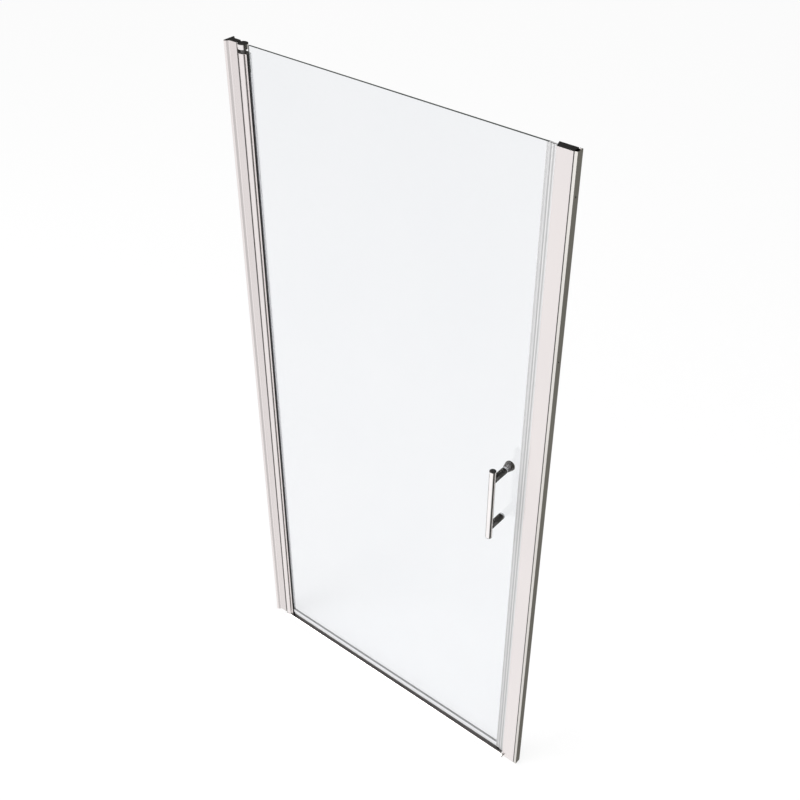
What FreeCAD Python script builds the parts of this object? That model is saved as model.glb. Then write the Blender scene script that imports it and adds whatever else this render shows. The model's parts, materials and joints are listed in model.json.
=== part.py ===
"""Pivot shower door: a framed alcove door on two pivot pins, in millimetres.

X runs from the hinge wall to the strike wall, Y from the room into the shower, Z up.
The origin lies on the tray, half way across the opening, in the plane of the pivot line.
"""
import FreeCAD, Part
import os
import re
import Sketcher

doc = FreeCAD.newDocument("PivotShowerDoor")
sheet = doc.addObject("Spreadsheet::Sheet", "Sizes")
Vector = FreeCAD.Vector


# ---- driving dimensions -------------------------------------------------------------------

SIZES = {
    "opening_width": 975,  # wall to wall
    "door_height": 1950,  # tray to the top of the caps
    "cap_thickness": 1.5,  # flat plastic caps on the profile tops
    "fit_gap": 0.1,  # clearance of pieces that slide together once
    "running_gap": 0.05,  # radial clearance of a pin in its bush
    "clear_gap": 0.4,  # clearance of pieces that pass each other

    "jamb_reach": 34.5,  # hinge jamb, from the wall to its nose
    "jamb_front": 15,  # pivot plane to the jamb's front corner
    "jamb_depth": 33,  # hinge jamb against the wall, front to back
    "flare_reach": 15,  # length of the curve from the wall to the neck
    "flare_drop": 9,  # how far the front curve falls back
    "neck_depth": 16.5,  # neck of the jamb, front to back
    "jamb_wall": 1.8,  # wall of the jamb
    "nose_wall": 4,  # solid nose of the jamb
    "nose_radius": 4.5,  # round corners of the nose
    "nose_gap": 2.2,  # nose to the turning barrel
    "seal_groove_width": 3.2,  # groove for the lip gasket
    "seal_groove_depth": 2.4,  # groove for the lip gasket

    "channel_wall": 1.5,  # wall of both wall channels
    "channel_reach": 22,  # hinge wall channel, from the wall
    "jamb_screw_reach": 18,  # wall to the jamb's fixing screws
    "wall_hole_diameter": 5,  # holes for the wall screws
    "wall_hole_margin": 100,  # outer wall holes to the ends of the channel
    "wall_hole_inner_span": 950,  # span of the middle pair of wall holes

    "barrel_radius": 12.8,  # round side of the hinge leaf
    "barrel_wall": 2,  # wall of the round side
    "jaw_wall": 2.5,  # wall of the glazing channel
    "leaf_reach": 16.7,  # pivot line to the open edge of the leaf
    "strip_width": 4.4,  # flat strip beside the front valley
    "valley_width": 3.7,  # valley between barrel and flat strip
    "valley_depth": 1,  # valley below the flat strip
    "valley_slope": 1.7,  # short side of the valley, beside the flat strip
    "gasket_thickness": 3.8,  # glazing gasket, jaw to glass
    "leaf_top_gap": 10,  # top of the leaf to the top head
    "washer_thickness": 0.4,  # washer under the leaf
    "axial_gap": 0.1,  # end play of the leaf

    "head_diameter": 26,  # round pivot heads
    "head_height": 11.5,  # round pivot heads
    "tongue_depth": 11.5,  # tongue of a head behind the jamb's nose
    "pin_diameter": 8,  # pivot pins
    "pin_reach": 30,  # pin inside its bush
    "pin_set": 8,  # pin inside its head
    "head_screw_depth": 8,  # screw hole in a head's tongue
    "head_screw_length": 6.4,  # screw inside that hole
    "head_screw_inset": 7.5,  # that screw behind the jamb's nose
    "bush_length": 40,  # bush inside the leaf
    "collar_diameter": 13.5,  # collar of the top bush, and the washer

    "glass_thickness": 6,  # toughened glass
    "glass_front": 0.7,  # front of the glass ahead of the pivot plane
    "glass_set_in": 2.5,  # glass edge past the pivot line
    "glass_lift": 20,  # tray to the lower edge of the glass
    "glass_top_drop": 2.5,  # top edge of the glass below the caps
    "notch_margin": 5,  # glass notch past the end of a bush
    "notch_side_gap": 0.5,  # glass notch beside the leaf
    "gasket_inset": 0.4,  # gasket behind the edges of the leaf

    "threshold_height": 7,  # threshold bar
    "threshold_back": 11,  # pivot plane to the bar's back face
    "threshold_flat": 21,  # flat top of the bar
    "threshold_ramp": 6.5,  # sloping front of the bar
    "threshold_toe": 1.2,  # blunt front edge of the bar
    "threshold_wall": 1.6,  # wall of the hollow bar
    "threshold_round": 2,  # round back edge of the bar
    "threshold_chamfer": 0.8,  # slanted corner inside that edge
    "threshold_lap": 4.5,  # bar's end before the pivot line
    "end_cap_width": 3,  # cap on the nose of the bar

    "sweep_leg": 13,  # sweep seal legs up the glass
    "soft_wall": 1.2,  # legs of the sweep and the magnet seal
    "sweep_web": 1.5,  # sweep seal under the glass
    "sweep_lip": 1,  # thickness of the lip

    "strike_width": 39,  # front face of the strike profile
    "strike_slant": 6.5,  # its closing side, front to back corner
    "strike_front": 9,  # pivot plane to the strike's front face
    "strike_depth": 20,  # strike profile, front to back
    "strike_wall": 1.5,  # wall of the strike profile
    "strike_round": 1,  # round corners of its closing side
    "strike_tail": 7.5,  # tail inside the wall channel
    "strike_channel": 7,  # strike wall channel, from the wall
    "joint_gap": 2.5,  # strike profile to the wall channel
    "tail_gap": 0.3,  # tail to the legs of the wall channel
    "groove_mouth": 3,  # mouth of the seal groove
    "groove_width": 5.6,  # groove for the fixed seal
    "groove_depth": 2.4,  # groove for the fixed seal

    "seal_reach": 15.9,  # meeting line to the strike's front corner
    "housing_depth": 7.5,  # magnet seals, front to back
    "housing_reach": 6,  # magnet housing on the door
    "housing_offset": 1.5,  # housing ahead of the pivot plane
    "housing_wall": 0.8,  # wall of the magnet housings
    "bite_length": 4.5,  # legs of the door's magnet seal on the glass
    "seal_end_gap": 0.3,  # ends of the sweep seal to its neighbours
    "soft_low": 8,  # tray to the lower end of the fixed seal
    "seal_top_gap": 1.5,  # top of the fixed seal below the metal
    "magnet_end": 1,  # ends of a magnet strip inside its housing

    "handle_height": 997,  # tray to the middle of the posts
    "post_spacing": 152,  # between the posts' centres
    "handle_length": 218,  # handle bar
    "handle_from_edge": 46.6,  # glass edge to the handle
    "handle_stand": 50.7,  # washer on the glass to the middle of the bar
    "bar_diameter": 17,  # handle bar
    "bar_wall": 1.5,  # wall of the bar
    "bar_cap": 1.2,  # cap at each end of the bar
    "cap_plug": 5,  # plug of such a cap inside the bar
    "post_diameter": 18,  # handle posts
    "saddle_reach": 5.5,  # post's end round the bar
    "stud_diameter": 6,  # fixings through the glass
    "fixing_depth": 25,  # fixing inside its post
    "glass_hole": 12,  # holes in the glass
    "clear_washer": 0.6,  # clear washers on the glass
    "knob_length": 22,  # inner knob
    "knob_base": 18,  # knob at the glass
    "knob_end": 28,  # knob at its free end
    "knob_rim": 4,  # straight rim of the knob
    "knob_bore": 16.5,  # bore of the knob
    "stud_in_knob": 15.5,  # stud inside that bore
    "grub_diameter": 4,  # set screws of the posts
    "grub_place": 15.2,  # glass to the set screws
    "fixing_head": 15,  # flat head behind the lower post
    "fixing_head_height": 1.5,  # flat head behind the lower post

    "screw_diameter": 3.5,  # profile screws
    "screw_head": 6.5,  # head of a profile screw
    "screw_head_height": 2,  # head of a profile screw
    "screw_margin": 140,  # profile screws to the ends of the profile
    "screw_past": 1.5,  # screw tip past the metal that it holds
}

for row, (alias, number) in enumerate(SIZES.items(), 1):
    sheet.set("A%d" % row, alias.replace("_", " "))
    sheet.set("B%d" % row, str(number))
    sheet.setAlias("B%d" % row, alias)

doc.recompute()


# ---- places worked out from the sizes -----------------------------------------------------

HINGE_WALL = "(opening_width / -2)"
STRIKE_WALL = "(opening_width / 2)"
PIVOT = "(opening_width / -2 + jamb_reach + nose_gap + barrel_radius)"
NOSE = "(opening_width / -2 + jamb_reach)"
BACK = "(jamb_depth - jamb_front)"
NECK_FRONT = "(flare_drop - jamb_front)"
NECK_BACK = "(flare_drop - jamb_front + neck_depth)"
NECK_MIDDLE = "(flare_drop - jamb_front + neck_depth / 2)"
TONGUE_HALF = "(neck_depth / 2 - jamb_wall - fit_gap)"

CAP_LOW = "(door_height - cap_thickness)"
TOP_HEAD_LOW = "(door_height - cap_thickness - head_height)"
LEAF_LOW = "(head_height + washer_thickness + axial_gap)"
LEAF_TOP = "(door_height - cap_thickness - head_height - leaf_top_gap)"
GLASS_TOP = "(door_height - glass_top_drop)"

GLASS_FRONT = "(0 - glass_front)"
GLASS_BACK = "(glass_thickness - glass_front)"
JAW_FRONT = "(0 - glass_front - gasket_thickness)"
JAW_BACK = "(glass_thickness - glass_front + gasket_thickness)"
LEAF_FRONT = "(0 - glass_front - gasket_thickness - jaw_wall)"
LEAF_BACK = "(glass_thickness - glass_front + gasket_thickness + jaw_wall)"
CAVITY = "(barrel_radius - barrel_wall)"

STRIKE_EDGE = "(opening_width / 2 - strike_channel - joint_gap - strike_width)"
MEETING = "(opening_width / 2 - strike_channel - joint_gap - strike_width - seal_reach)"
GLASS_EDGE = ("(opening_width / 2 - strike_channel - joint_gap - strike_width - seal_reach"
              " - clear_gap - housing_reach - soft_wall)")
HANDLE = GLASS_EDGE[:-1] + " - handle_from_edge)"
BAR_AXIS = "(0 - glass_front - clear_washer - handle_stand)"
BAR_LOW = "(handle_height - handle_length / 2)"
LOWER_POST = "(handle_height - post_spacing / 2)"
UPPER_POST = "(handle_height + post_spacing / 2)"
TOE = "(threshold_back - threshold_flat - threshold_ramp)"
CREASE = "(threshold_back - threshold_flat)"


# ---- drawing helpers ----------------------------------------------------------------------

def bound(text):
    """Point every size name in an expression at the sheet."""
    return re.sub(r"\b([a-z]+(?:_[a-z]+)+)\b", r"Sizes.\1", str(text))


def value(text):
    """Present value of an expression."""
    return float(sheet.evalExpression(bound(text)))


def body(label, x="0", y="0", z="0"):
    """A new sub-part whose own origin stands at x, y, z."""
    made = doc.addObject("PartDesign::Body", "Body")
    made.Label = label
    for axis, place in (("x", x), ("y", y), ("z", z)):
        if place != "0":
            made.setExpression("Placement.Base." + axis, bound(place))
    return made


def tie(sketch, kind, edge, point, text):
    """Hold one coordinate of a sketch point at an expression."""
    held = Sketcher.Constraint(kind, -1, 1, edge, point, value(text))
    index = sketch.addConstraint(held)
    sketch.setExpression("Constraints[%d]" % index, bound(text))


def outline(sketch, corners):
    """Closed outline through corners (x, y); (x, y, radius) starts an arc to the next corner.

    A positive radius turns left on its way and a negative one right, by the short way round
    unless the corner ends in "major".
    """
    first = sketch.GeometryCount
    spots = [Vector(value(corner[0]), value(corner[1]), 0) for corner in corners]
    tails = []
    heads = []
    for number, corner in enumerate(corners):
        start = spots[number]
        end = spots[(number + 1) % len(corners)]
        if len(corner) == 2:
            sketch.addGeometry(Part.LineSegment(start, end), False)
            tails.append(1)
            heads.append(2)
            continue
        radius = value(corner[2])
        chord = end - start
        side = 1 if radius > 0 else -1
        long_way = -1 if len(corner) == 4 else 1
        left = Vector(-chord.y, chord.x, 0).normalize()
        rise = max(radius ** 2 - chord.Length ** 2 / 4, 0) ** 0.5
        centre = (start + end) / 2 + left * (rise * side * long_way)
        round_line = Part.Circle(centre, Vector(0, 0, 1), abs(radius))
        low, high = (start, end) if side > 0 else (end, start)
        arc = Part.ArcOfCircle(round_line, round_line.parameter(low), round_line.parameter(high))
        sketch.addGeometry(arc, False)
        tails.append(1 if side > 0 else 2)
        heads.append(2 if side > 0 else 1)
    count = len(corners)
    for number in range(count):
        after = (number + 1) % count
        meet = Sketcher.Constraint("Coincident", first + number, heads[number],
                                   first + after, tails[after])
        sketch.addConstraint(meet)
    for number, corner in enumerate(corners):
        tie(sketch, "DistanceX", first + number, tails[number], corner[0])
        tie(sketch, "DistanceY", first + number, tails[number], corner[1])
        if len(corner) > 2:
            size_text = corner[2] if value(corner[2]) > 0 else "0 - (%s)" % corner[2]
            round_off = Sketcher.Constraint("Radius", first + number, value(size_text))
            index = sketch.addConstraint(round_off)
            sketch.setExpression("Constraints[%d]" % index, bound(size_text))


def circle(sketch, x, y, radius):
    """Full circle about x, y."""
    middle = Vector(value(x), value(y), 0)
    edge = sketch.addGeometry(Part.Circle(middle, Vector(0, 0, 1), value(radius)), False)
    tie(sketch, "DistanceX", edge, 3, x)
    tie(sketch, "DistanceY", edge, 3, y)
    index = sketch.addConstraint(Sketcher.Constraint("Radius", edge, value(radius)))
    sketch.setExpression("Constraints[%d]" % index, bound(radius))


def box(x_low, x_high, y_low, y_high):
    """Corners of a rectangle."""
    return [(x_low, y_low), (x_high, y_low), (x_high, y_high), (x_low, y_high)]


def draw(made, plane, start, shapes):
    """Sketch on a plane of the body, moved along that plane's axis to start."""
    sketch = made.newObject("Sketcher::SketchObject", "Sketch")
    support = [item for item in made.Origin.OriginFeatures if item.Role == plane + "_Plane"]
    sketch.AttachmentSupport = [(support[0], "")]
    sketch.MapMode = "FlatFace"
    shift = "0 - (%s)" % start if plane == "XZ" else start
    sketch.setExpression("AttachmentOffset.Base.z", bound(shift))
    for shape in shapes:
        if isinstance(shape, tuple):
            circle(sketch, *shape)
        else:
            outline(sketch, shape)
    return sketch


def pad(made, plane, start, length, *shapes):
    """Material from start over length along the axis square to the plane."""
    feature = made.newObject("PartDesign::Pad", "Pad")
    feature.Profile = draw(made, plane, start, shapes)
    feature.Reversed = plane == "XZ"
    feature.setExpression("Length", bound(length))
    return feature


def pocket(made, plane, start, length, *shapes):
    """Cut from start over length along the axis square to the plane."""
    doc.recompute()
    before = made.Shape.Volume
    sketch = draw(made, plane, start, shapes)
    feature = made.newObject("PartDesign::Pocket", "Pocket")
    feature.Profile = sketch
    feature.Reversed = plane != "XZ"
    feature.setExpression("Length", bound(length))
    doc.recompute()
    if made.Shape.Volume >= before:
        raise ValueError("a cut in %s removes nothing" % made.Label)
    return feature


def turn(made, plane, corners):
    """Solid of revolution about the sketch's upright axis."""
    sketch = draw(made, plane, "0", [corners])
    feature = made.newObject("PartDesign::Revolution", "Revolution")
    feature.Profile = sketch
    feature.ReferenceAxis = (sketch, ["V_Axis"])
    feature.Angle = 360
    return feature


def repeat(made, feature, span):
    """A second copy of a feature, span further up the body's Z axis."""
    pattern = made.newObject("PartDesign::LinearPattern", "LinearPattern")
    pattern.Originals = [feature]
    upright = [item for item in made.Origin.OriginFeatures if item.Role == "Z_Axis"]
    pattern.Direction = (upright[0], [""])
    pattern.setExpression("Length", bound(span))
    pattern.Occurrences = 2
    made.Tip = pattern


def upright_edges(made, places):
    """Names of the edges along Z that pass nearest to places (x, y)."""
    doc.recompute()
    names = []
    for place in places:
        spot = Vector(value(place[0]), value(place[1]), 0)
        found = []
        for number, edge in enumerate(made.Tip.Shape.Edges, 1):
            if not isinstance(edge.Curve, Part.Line):
                continue
            first = edge.Vertexes[0].Point
            last = edge.Vertexes[-1].Point
            if abs(first.z - last.z) < abs(first.x - last.x) + abs(first.y - last.y) + 1:
                continue
            away = Vector(first.x, first.y, 0).distanceToPoint(spot)
            found.append((away, "Edge%d" % number))
        names.append(min(found)[1])
    return names


def ease(made, radius, *places):
    """Round the upright edges at places (x, y)."""
    names = upright_edges(made, places)
    base = made.Tip
    feature = made.newObject("PartDesign::Fillet", "Fillet")
    feature.Base = (base, names)
    feature.setExpression("Radius", bound(radius))
    doc.recompute()


# ---- hinge side, fixed to the wall --------------------------------------------------------

FLARE = "((flare_reach ^ 2 + flare_drop ^ 2) / (4 * flare_drop))"
BACK_DROP = "(jamb_depth - flare_drop - neck_depth)"
BACK_FLARE = ("((flare_reach ^ 2 + (jamb_depth - flare_drop - neck_depth) ^ 2)"
              " / (4 * (jamb_depth - flare_drop - neck_depth)))")


def flare_middle(drop, side, inset):
    """Point where the flare's two arcs meet, moved inset into the metal."""
    square = "(flare_reach ^ 2 + (%s) ^ 2)" % drop
    lean = "(2 * flare_reach * (%s) / %s)" % (drop, square)
    level = "((flare_reach ^ 2 - (%s) ^ 2) / %s)" % (drop, square)
    x = "(%s + flare_reach / 2 - (%s) * %s)" % (HINGE_WALL, inset, lean)
    if side == "front":
        y = "(0 - jamb_front + (%s) / 2 + (%s) * %s)" % (drop, inset, level)
    else:
        y = "(%s - (%s) / 2 - (%s) * %s)" % (BACK, drop, inset, level)
    return x, y


def jamb_outline(inset, nose):
    """Open-backed path of the jamb, from the front corner at the wall round to the back one."""
    corner = "(nose_radius - (%s))" % inset
    front = "(%s + (%s))" % (NECK_FRONT, inset)
    back = "(%s - (%s))" % (NECK_BACK, inset)
    neck_start = "(%s + flare_reach)" % HINGE_WALL
    front_x, front_y = flare_middle("flare_drop", "front", inset)
    back_x, back_y = flare_middle(BACK_DROP, "back", inset)
    return [
        (HINGE_WALL, "(0 - jamb_front + (%s))" % inset, "(%s - (%s))" % (FLARE, inset)),
        (front_x, front_y, "(0 - %s - (%s))" % (FLARE, inset)),
        (neck_start, front),
        ("(%s - %s)" % (nose, corner), front, corner),
        (nose, "(%s + %s)" % (front, corner)),
        (nose, "(%s - %s)" % (back, corner), corner),
        ("(%s - %s)" % (nose, corner), back),
        (neck_start, back, "(0 - %s - (%s))" % (BACK_FLARE, inset)),
        (back_x, back_y, "(%s - (%s))" % (BACK_FLARE, inset)),
        (HINGE_WALL, "(%s - (%s))" % (BACK, inset)),
    ]


def backwards(path):
    """The same path travelled the other way, arcs turned over."""
    turned = []
    for number in range(len(path) - 1, -1, -1):
        corner = path[number]
        before = path[number - 1] if number else None
        if before and len(before) > 2:
            turned.append((corner[0], corner[1], "(0 - %s)" % before[2]))
        else:
            turned.append((corner[0], corner[1]))
    return turned


def head_notch(made, start, length):
    """Opening in the jamb's nose for the tongue of a pivot head."""
    half = "(%s + fit_gap)" % TONGUE_HALF
    inner = "(%s - nose_wall - nose_radius)" % NOSE
    pocket(made, "XY", start, length,
           box(inner, "(%s + fit_gap)" % NOSE,
               "(%s - %s)" % (NECK_MIDDLE, half), "(%s + %s)" % (NECK_MIDDLE, half)))


HEAD_SCREW_X = "(%s - head_screw_inset)" % NOSE
JAMB_SCREW_X = "(%s + jamb_screw_reach)" % HINGE_WALL
SCREW_HOLE = "(screw_diameter / 2 + running_gap)"
TOP_SCREW = "(%s + head_height / 2)" % TOP_HEAD_LOW
BOTTOM_SCREW = "(head_height / 2)"
SCREW_TOP = "(door_height - screw_margin)"
SCREW_SPAN = "(door_height - 2 * screw_margin)"


def screw_holes(made, x, y, depth, *heights):
    """Round holes along Y for the profile screws."""
    pocket(made, "XZ", y, depth, *[(x, z, SCREW_HOLE) for z in heights])


def hinge_jamb():
    """Flared aluminium extrusion, open at the wall, with a gasket groove in its nose."""
    made = body("hinge_jamb")
    outer = jamb_outline("0", NOSE)
    inner = jamb_outline("jamb_wall", "(%s - nose_wall)" % NOSE)
    pad(made, "XY", "0", CAP_LOW, outer + backwards(inner))
    pocket(made, "XY", "0", CAP_LOW,
           box("(%s - seal_groove_depth)" % NOSE, "(%s + fit_gap)" % NOSE,
               "(0 - seal_groove_width / 2)", "(seal_groove_width / 2)"))
    head_notch(made, "0", "(head_height + fit_gap)")
    head_notch(made, "(%s - fit_gap)" % TOP_HEAD_LOW, "(head_height + 2 * fit_gap)")
    wall_start = "(%s - jamb_wall - fit_gap)" % NECK_BACK
    wall_depth = "(jamb_wall + 2 * fit_gap)"
    screw_holes(made, HEAD_SCREW_X, wall_start, wall_depth, BOTTOM_SCREW, TOP_SCREW)
    screw_holes(made, JAMB_SCREW_X, wall_start, wall_depth, "screw_margin", SCREW_TOP)
    return made


def jamb_end_cap():
    """Flat black cap over the jamb's open top."""
    made = body("jamb_end_cap")
    pad(made, "XY", CAP_LOW, "cap_thickness", jamb_outline("0", NOSE))
    return made


def wall_holes(made, x, y):
    """Four plain holes through a channel's base for the wall screws."""
    inner_low = "(door_height / 2 - wall_hole_inner_span / 2)"
    heights = ("wall_hole_margin", inner_low, "(%s + wall_hole_inner_span)" % inner_low,
               "(door_height - wall_hole_margin)")
    pocket(made, "YZ", "(%s - fit_gap)" % x, "(channel_wall + 2 * fit_gap)",
           *[(y, z, "(wall_hole_diameter / 2)") for z in heights])


def hinge_wall_channel():
    """Aluminium channel screwed to the wall, hidden inside the jamb."""
    made = body("hinge_wall_channel")
    front = "(%s - %s)" % (NECK_MIDDLE, TONGUE_HALF)
    back = "(%s + %s)" % (NECK_MIDDLE, TONGUE_HALF)
    reach = "(%s + channel_reach)" % HINGE_WALL
    pad(made, "XY", "0", CAP_LOW, [
        (HINGE_WALL, front),
        (reach, front),
        (reach, "(%s + channel_wall)" % front),
        ("(%s + channel_wall)" % HINGE_WALL, "(%s + channel_wall)" % front),
        ("(%s + channel_wall)" % HINGE_WALL, "(%s - channel_wall)" % back),
        (reach, "(%s - channel_wall)" % back),
        (reach, back),
        (HINGE_WALL, back),
    ])
    wall_holes(made, HINGE_WALL, NECK_MIDDLE)
    screw_holes(made, JAMB_SCREW_X, "(%s - channel_wall - fit_gap)" % back,
                "(channel_wall + 2 * fit_gap)", "screw_margin", SCREW_TOP)
    return made


def cheese_head_screws(label, x, y, low, span, length):
    """Pair of cheese-head screws driven from inside the shower, towards the room."""
    made = body(label, x, y, low)
    half_head = "(screw_head / 2)"
    half_shank = "(screw_diameter / 2)"
    first = turn(made, "XY", [
        ("0", "(0 - %s)" % length),
        (half_shank, "(0 - %s)" % length),
        (half_shank, "0"),
        (half_head, "0"),
        (half_head, "screw_head_height"),
        ("0", "screw_head_height"),
    ])
    repeat(made, first, span)
    return made


def jamb_seal():
    """Lip gasket in the nose, close to the barrel over its whole turn."""
    made = body("jamb_seal", NOSE)
    half = "(seal_groove_width / 2 - running_gap)"
    tip = "(nose_gap - clear_gap - seal_groove_width / 4)"
    low = "(head_height + clear_gap)"
    pad(made, "XY", low, "(%s - clear_gap - %s)" % (TOP_HEAD_LOW, low), [
        ("(running_gap - seal_groove_depth)", "(0 - %s)" % half),
        ("0", "(0 - %s)" % half),
        (tip, "(0 - seal_groove_width / 4)", "(seal_groove_width / 3)"),
        (tip, "(seal_groove_width / 4)"),
        ("0", half),
        ("(running_gap - seal_groove_depth)", half),
    ])
    return made


def pivot_head(label, start, pin_start, screw_height):
    """Round head beside the jamb, with a tongue that is screwed inside it."""
    made = body(label, PIVOT)
    radius = "(head_diameter / 2)"
    front = "(%s - %s)" % (NECK_MIDDLE, TONGUE_HALF)
    back = "(%s + %s)" % (NECK_MIDDLE, TONGUE_HALF)
    tail = "(0 - barrel_radius - nose_gap - tongue_depth)"
    meet_front = "(0 - sqrt(%s ^ 2 - %s ^ 2))" % (radius, front)
    meet_back = "(0 - sqrt(%s ^ 2 - %s ^ 2))" % (radius, back)
    pad(made, "XY", start, "head_height", [
        (tail, front),
        (meet_front, front, radius, "major"),
        (meet_back, back),
        (tail, back),
    ])
    pocket(made, "XY", pin_start, "(pin_set + fit_gap)",
           ("0", "0", "(pin_diameter / 2 + running_gap)"))
    screw_holes(made, "(%s - %s)" % (HEAD_SCREW_X, PIVOT), "(%s - head_screw_depth)" % back,
                "(head_screw_depth + fit_gap)", screw_height)
    return made


def pivot_pin(label, start, length):
    """Ground steel pin, pressed into its head and running in its bush."""
    made = body(label, PIVOT)
    pad(made, "XY", start, length, ("0", "0", "(pin_diameter / 2)"))
    return made


def top_pivot_cap():
    """Black cover disc on the top head."""
    made = body("top_pivot_cap", PIVOT)
    pad(made, "XY", CAP_LOW, "cap_thickness", ("0", "0", "(head_diameter / 2)"))
    return made


def thrust_washer():
    """Thin washer on the bottom head that carries the door."""
    made = body("thrust_washer", PIVOT)
    pad(made, "XY", "head_height", "washer_thickness",
        ("0", "0", "(collar_diameter / 2)"),
        ("0", "0", "(pin_diameter / 2 + running_gap)"))
    return made


# ---- threshold ----------------------------------------------------------------------------

def threshold_nose(back):
    """The part of the bar's section that runs on in front of the strike."""
    return [
        (TOE, "0"),
        (back, "0"),
        (back, "threshold_height"),
        (CREASE, "threshold_height"),
        (TOE, "threshold_toe"),
    ]


NOSE_BACK = "(0 - strike_front - clear_gap)"
BAR_START = "(%s - threshold_lap)" % PIVOT
BAR_BACK_END = "(%s - strike_slant - clear_gap)" % STRIKE_EDGE
BAR_END = STRIKE_EDGE


def threshold_bar():
    """Hollow bar on the tray, coped round the bottom head and cut back at the strike."""
    made = body("threshold_bar")
    pad(made, "YZ", BAR_START, "(%s - %s)" % (BAR_END, BAR_START),
        [
            (TOE, "0"),
            ("threshold_back", "0"),
            ("threshold_back", "(threshold_height - threshold_round)", "threshold_round"),
            ("(threshold_back - threshold_round)", "threshold_height"),
            (CREASE, "threshold_height"),
            (TOE, "threshold_toe"),
        ],
        [
            ("(%s + threshold_wall)" % CREASE, "threshold_wall"),
            ("(threshold_back - threshold_wall)", "threshold_wall"),
            ("(threshold_back - threshold_wall)",
             "(threshold_height - threshold_wall - threshold_chamfer)"),
            ("(threshold_back - threshold_wall - threshold_chamfer)",
             "(threshold_height - threshold_wall)"),
            ("(%s + threshold_wall)" % CREASE, "(threshold_height - threshold_wall)"),
        ])
    pocket(made, "XY", "(0 - fit_gap)", "(threshold_height + 2 * fit_gap)",
           (PIVOT, "0", "(head_diameter / 2 + clear_gap)"))
    pocket(made, "XY", "(0 - fit_gap)", "(threshold_height + 2 * fit_gap)",
           box(BAR_BACK_END, "(%s + fit_gap)" % BAR_END, NOSE_BACK,
               "(threshold_back + fit_gap)"))
    return made


def threshold_end_cap():
    """Grey cap on the bar's nose."""
    made = body("threshold_end_cap")
    pad(made, "YZ", BAR_END, "end_cap_width", threshold_nose(NOSE_BACK))
    return made


# ---- strike side, fixed to the wall -------------------------------------------------------

STRIKE_FRONT = "(0 - strike_front)"
STRIKE_BACK = "(strike_depth - strike_front)"
STRIKE_END = "(%s + strike_width)" % STRIKE_EDGE
TAIL_FRONT = "(%s + channel_wall + tail_gap)" % STRIKE_FRONT
TAIL_BACK = "(%s - channel_wall - tail_gap)" % STRIKE_BACK
TAIL_END = "(%s + strike_tail)" % STRIKE_END
SEAL_MIDDLE = "(housing_depth / 2 - housing_offset)"
STRIKE_SCREW_X = "(%s + joint_gap + strike_channel / 2 - channel_wall / 2)" % STRIKE_END


def slant(y):
    """X of the strike's slanted closing side at y."""
    return "(%s - strike_slant * ((%s) + strike_front) / strike_depth)" % (STRIKE_EDGE, y)


def strike_profile():
    """Hollow aluminium profile with a slanted side, a seal groove and a tail for the channel."""
    made = body("strike_profile")
    mouth_front = "(%s - groove_mouth / 2)" % SEAL_MIDDLE
    mouth_back = "(%s + groove_mouth / 2)" % SEAL_MIDDLE
    groove_front = "(%s - groove_width / 2)" % SEAL_MIDDLE
    groove_back = "(%s + groove_width / 2)" % SEAL_MIDDLE
    lips = "(%s + strike_wall)" % slant(mouth_front)
    floor = "(%s + groove_depth)" % lips
    block = "(%s + strike_wall)" % floor
    inner_end = "(%s - strike_wall)" % STRIKE_END
    pad(made, "XY", "0", CAP_LOW, [
        (TAIL_END, TAIL_FRONT),
        (STRIKE_END, TAIL_FRONT),
        (STRIKE_END, STRIKE_FRONT),
        (STRIKE_EDGE, STRIKE_FRONT),
        (slant(mouth_front), mouth_front),
        (lips, mouth_front),
        (lips, groove_front),
        (floor, groove_front),
        (floor, groove_back),
        (lips, groove_back),
        (lips, mouth_back),
        (slant(mouth_back), mouth_back),
        (slant(STRIKE_BACK), STRIKE_BACK),
        (STRIKE_END, STRIKE_BACK),
        (STRIKE_END, TAIL_BACK),
        (TAIL_END, TAIL_BACK),
        (TAIL_END, "(%s - strike_wall)" % TAIL_BACK),
        (inner_end, "(%s - strike_wall)" % TAIL_BACK),
        (inner_end, "(%s - strike_wall)" % STRIKE_BACK),
        ("(%s + strike_wall)" % slant(STRIKE_BACK), "(%s - strike_wall)" % STRIKE_BACK),
        ("(%s + strike_wall)" % slant(STRIKE_BACK), "(%s + strike_wall)" % groove_back),
        (block, "(%s + strike_wall)" % groove_back),
        (block, "(%s - strike_wall)" % groove_front),
        ("(%s + strike_wall)" % STRIKE_EDGE, "(%s - strike_wall)" % groove_front),
        ("(%s + strike_wall)" % STRIKE_EDGE, "(%s + strike_wall)" % STRIKE_FRONT),
        (inner_end, "(%s + strike_wall)" % STRIKE_FRONT),
        (inner_end, "(%s + strike_wall)" % TAIL_FRONT),
        (TAIL_END, "(%s + strike_wall)" % TAIL_FRONT),
    ])
    screw_holes(made, STRIKE_SCREW_X, "(%s - strike_wall - fit_gap)" % TAIL_BACK,
                "(strike_wall + 2 * fit_gap)", "screw_margin", SCREW_TOP)
    ease(made, "strike_round", (STRIKE_EDGE, STRIKE_FRONT), (slant(STRIKE_BACK), STRIKE_BACK))
    return made


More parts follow.
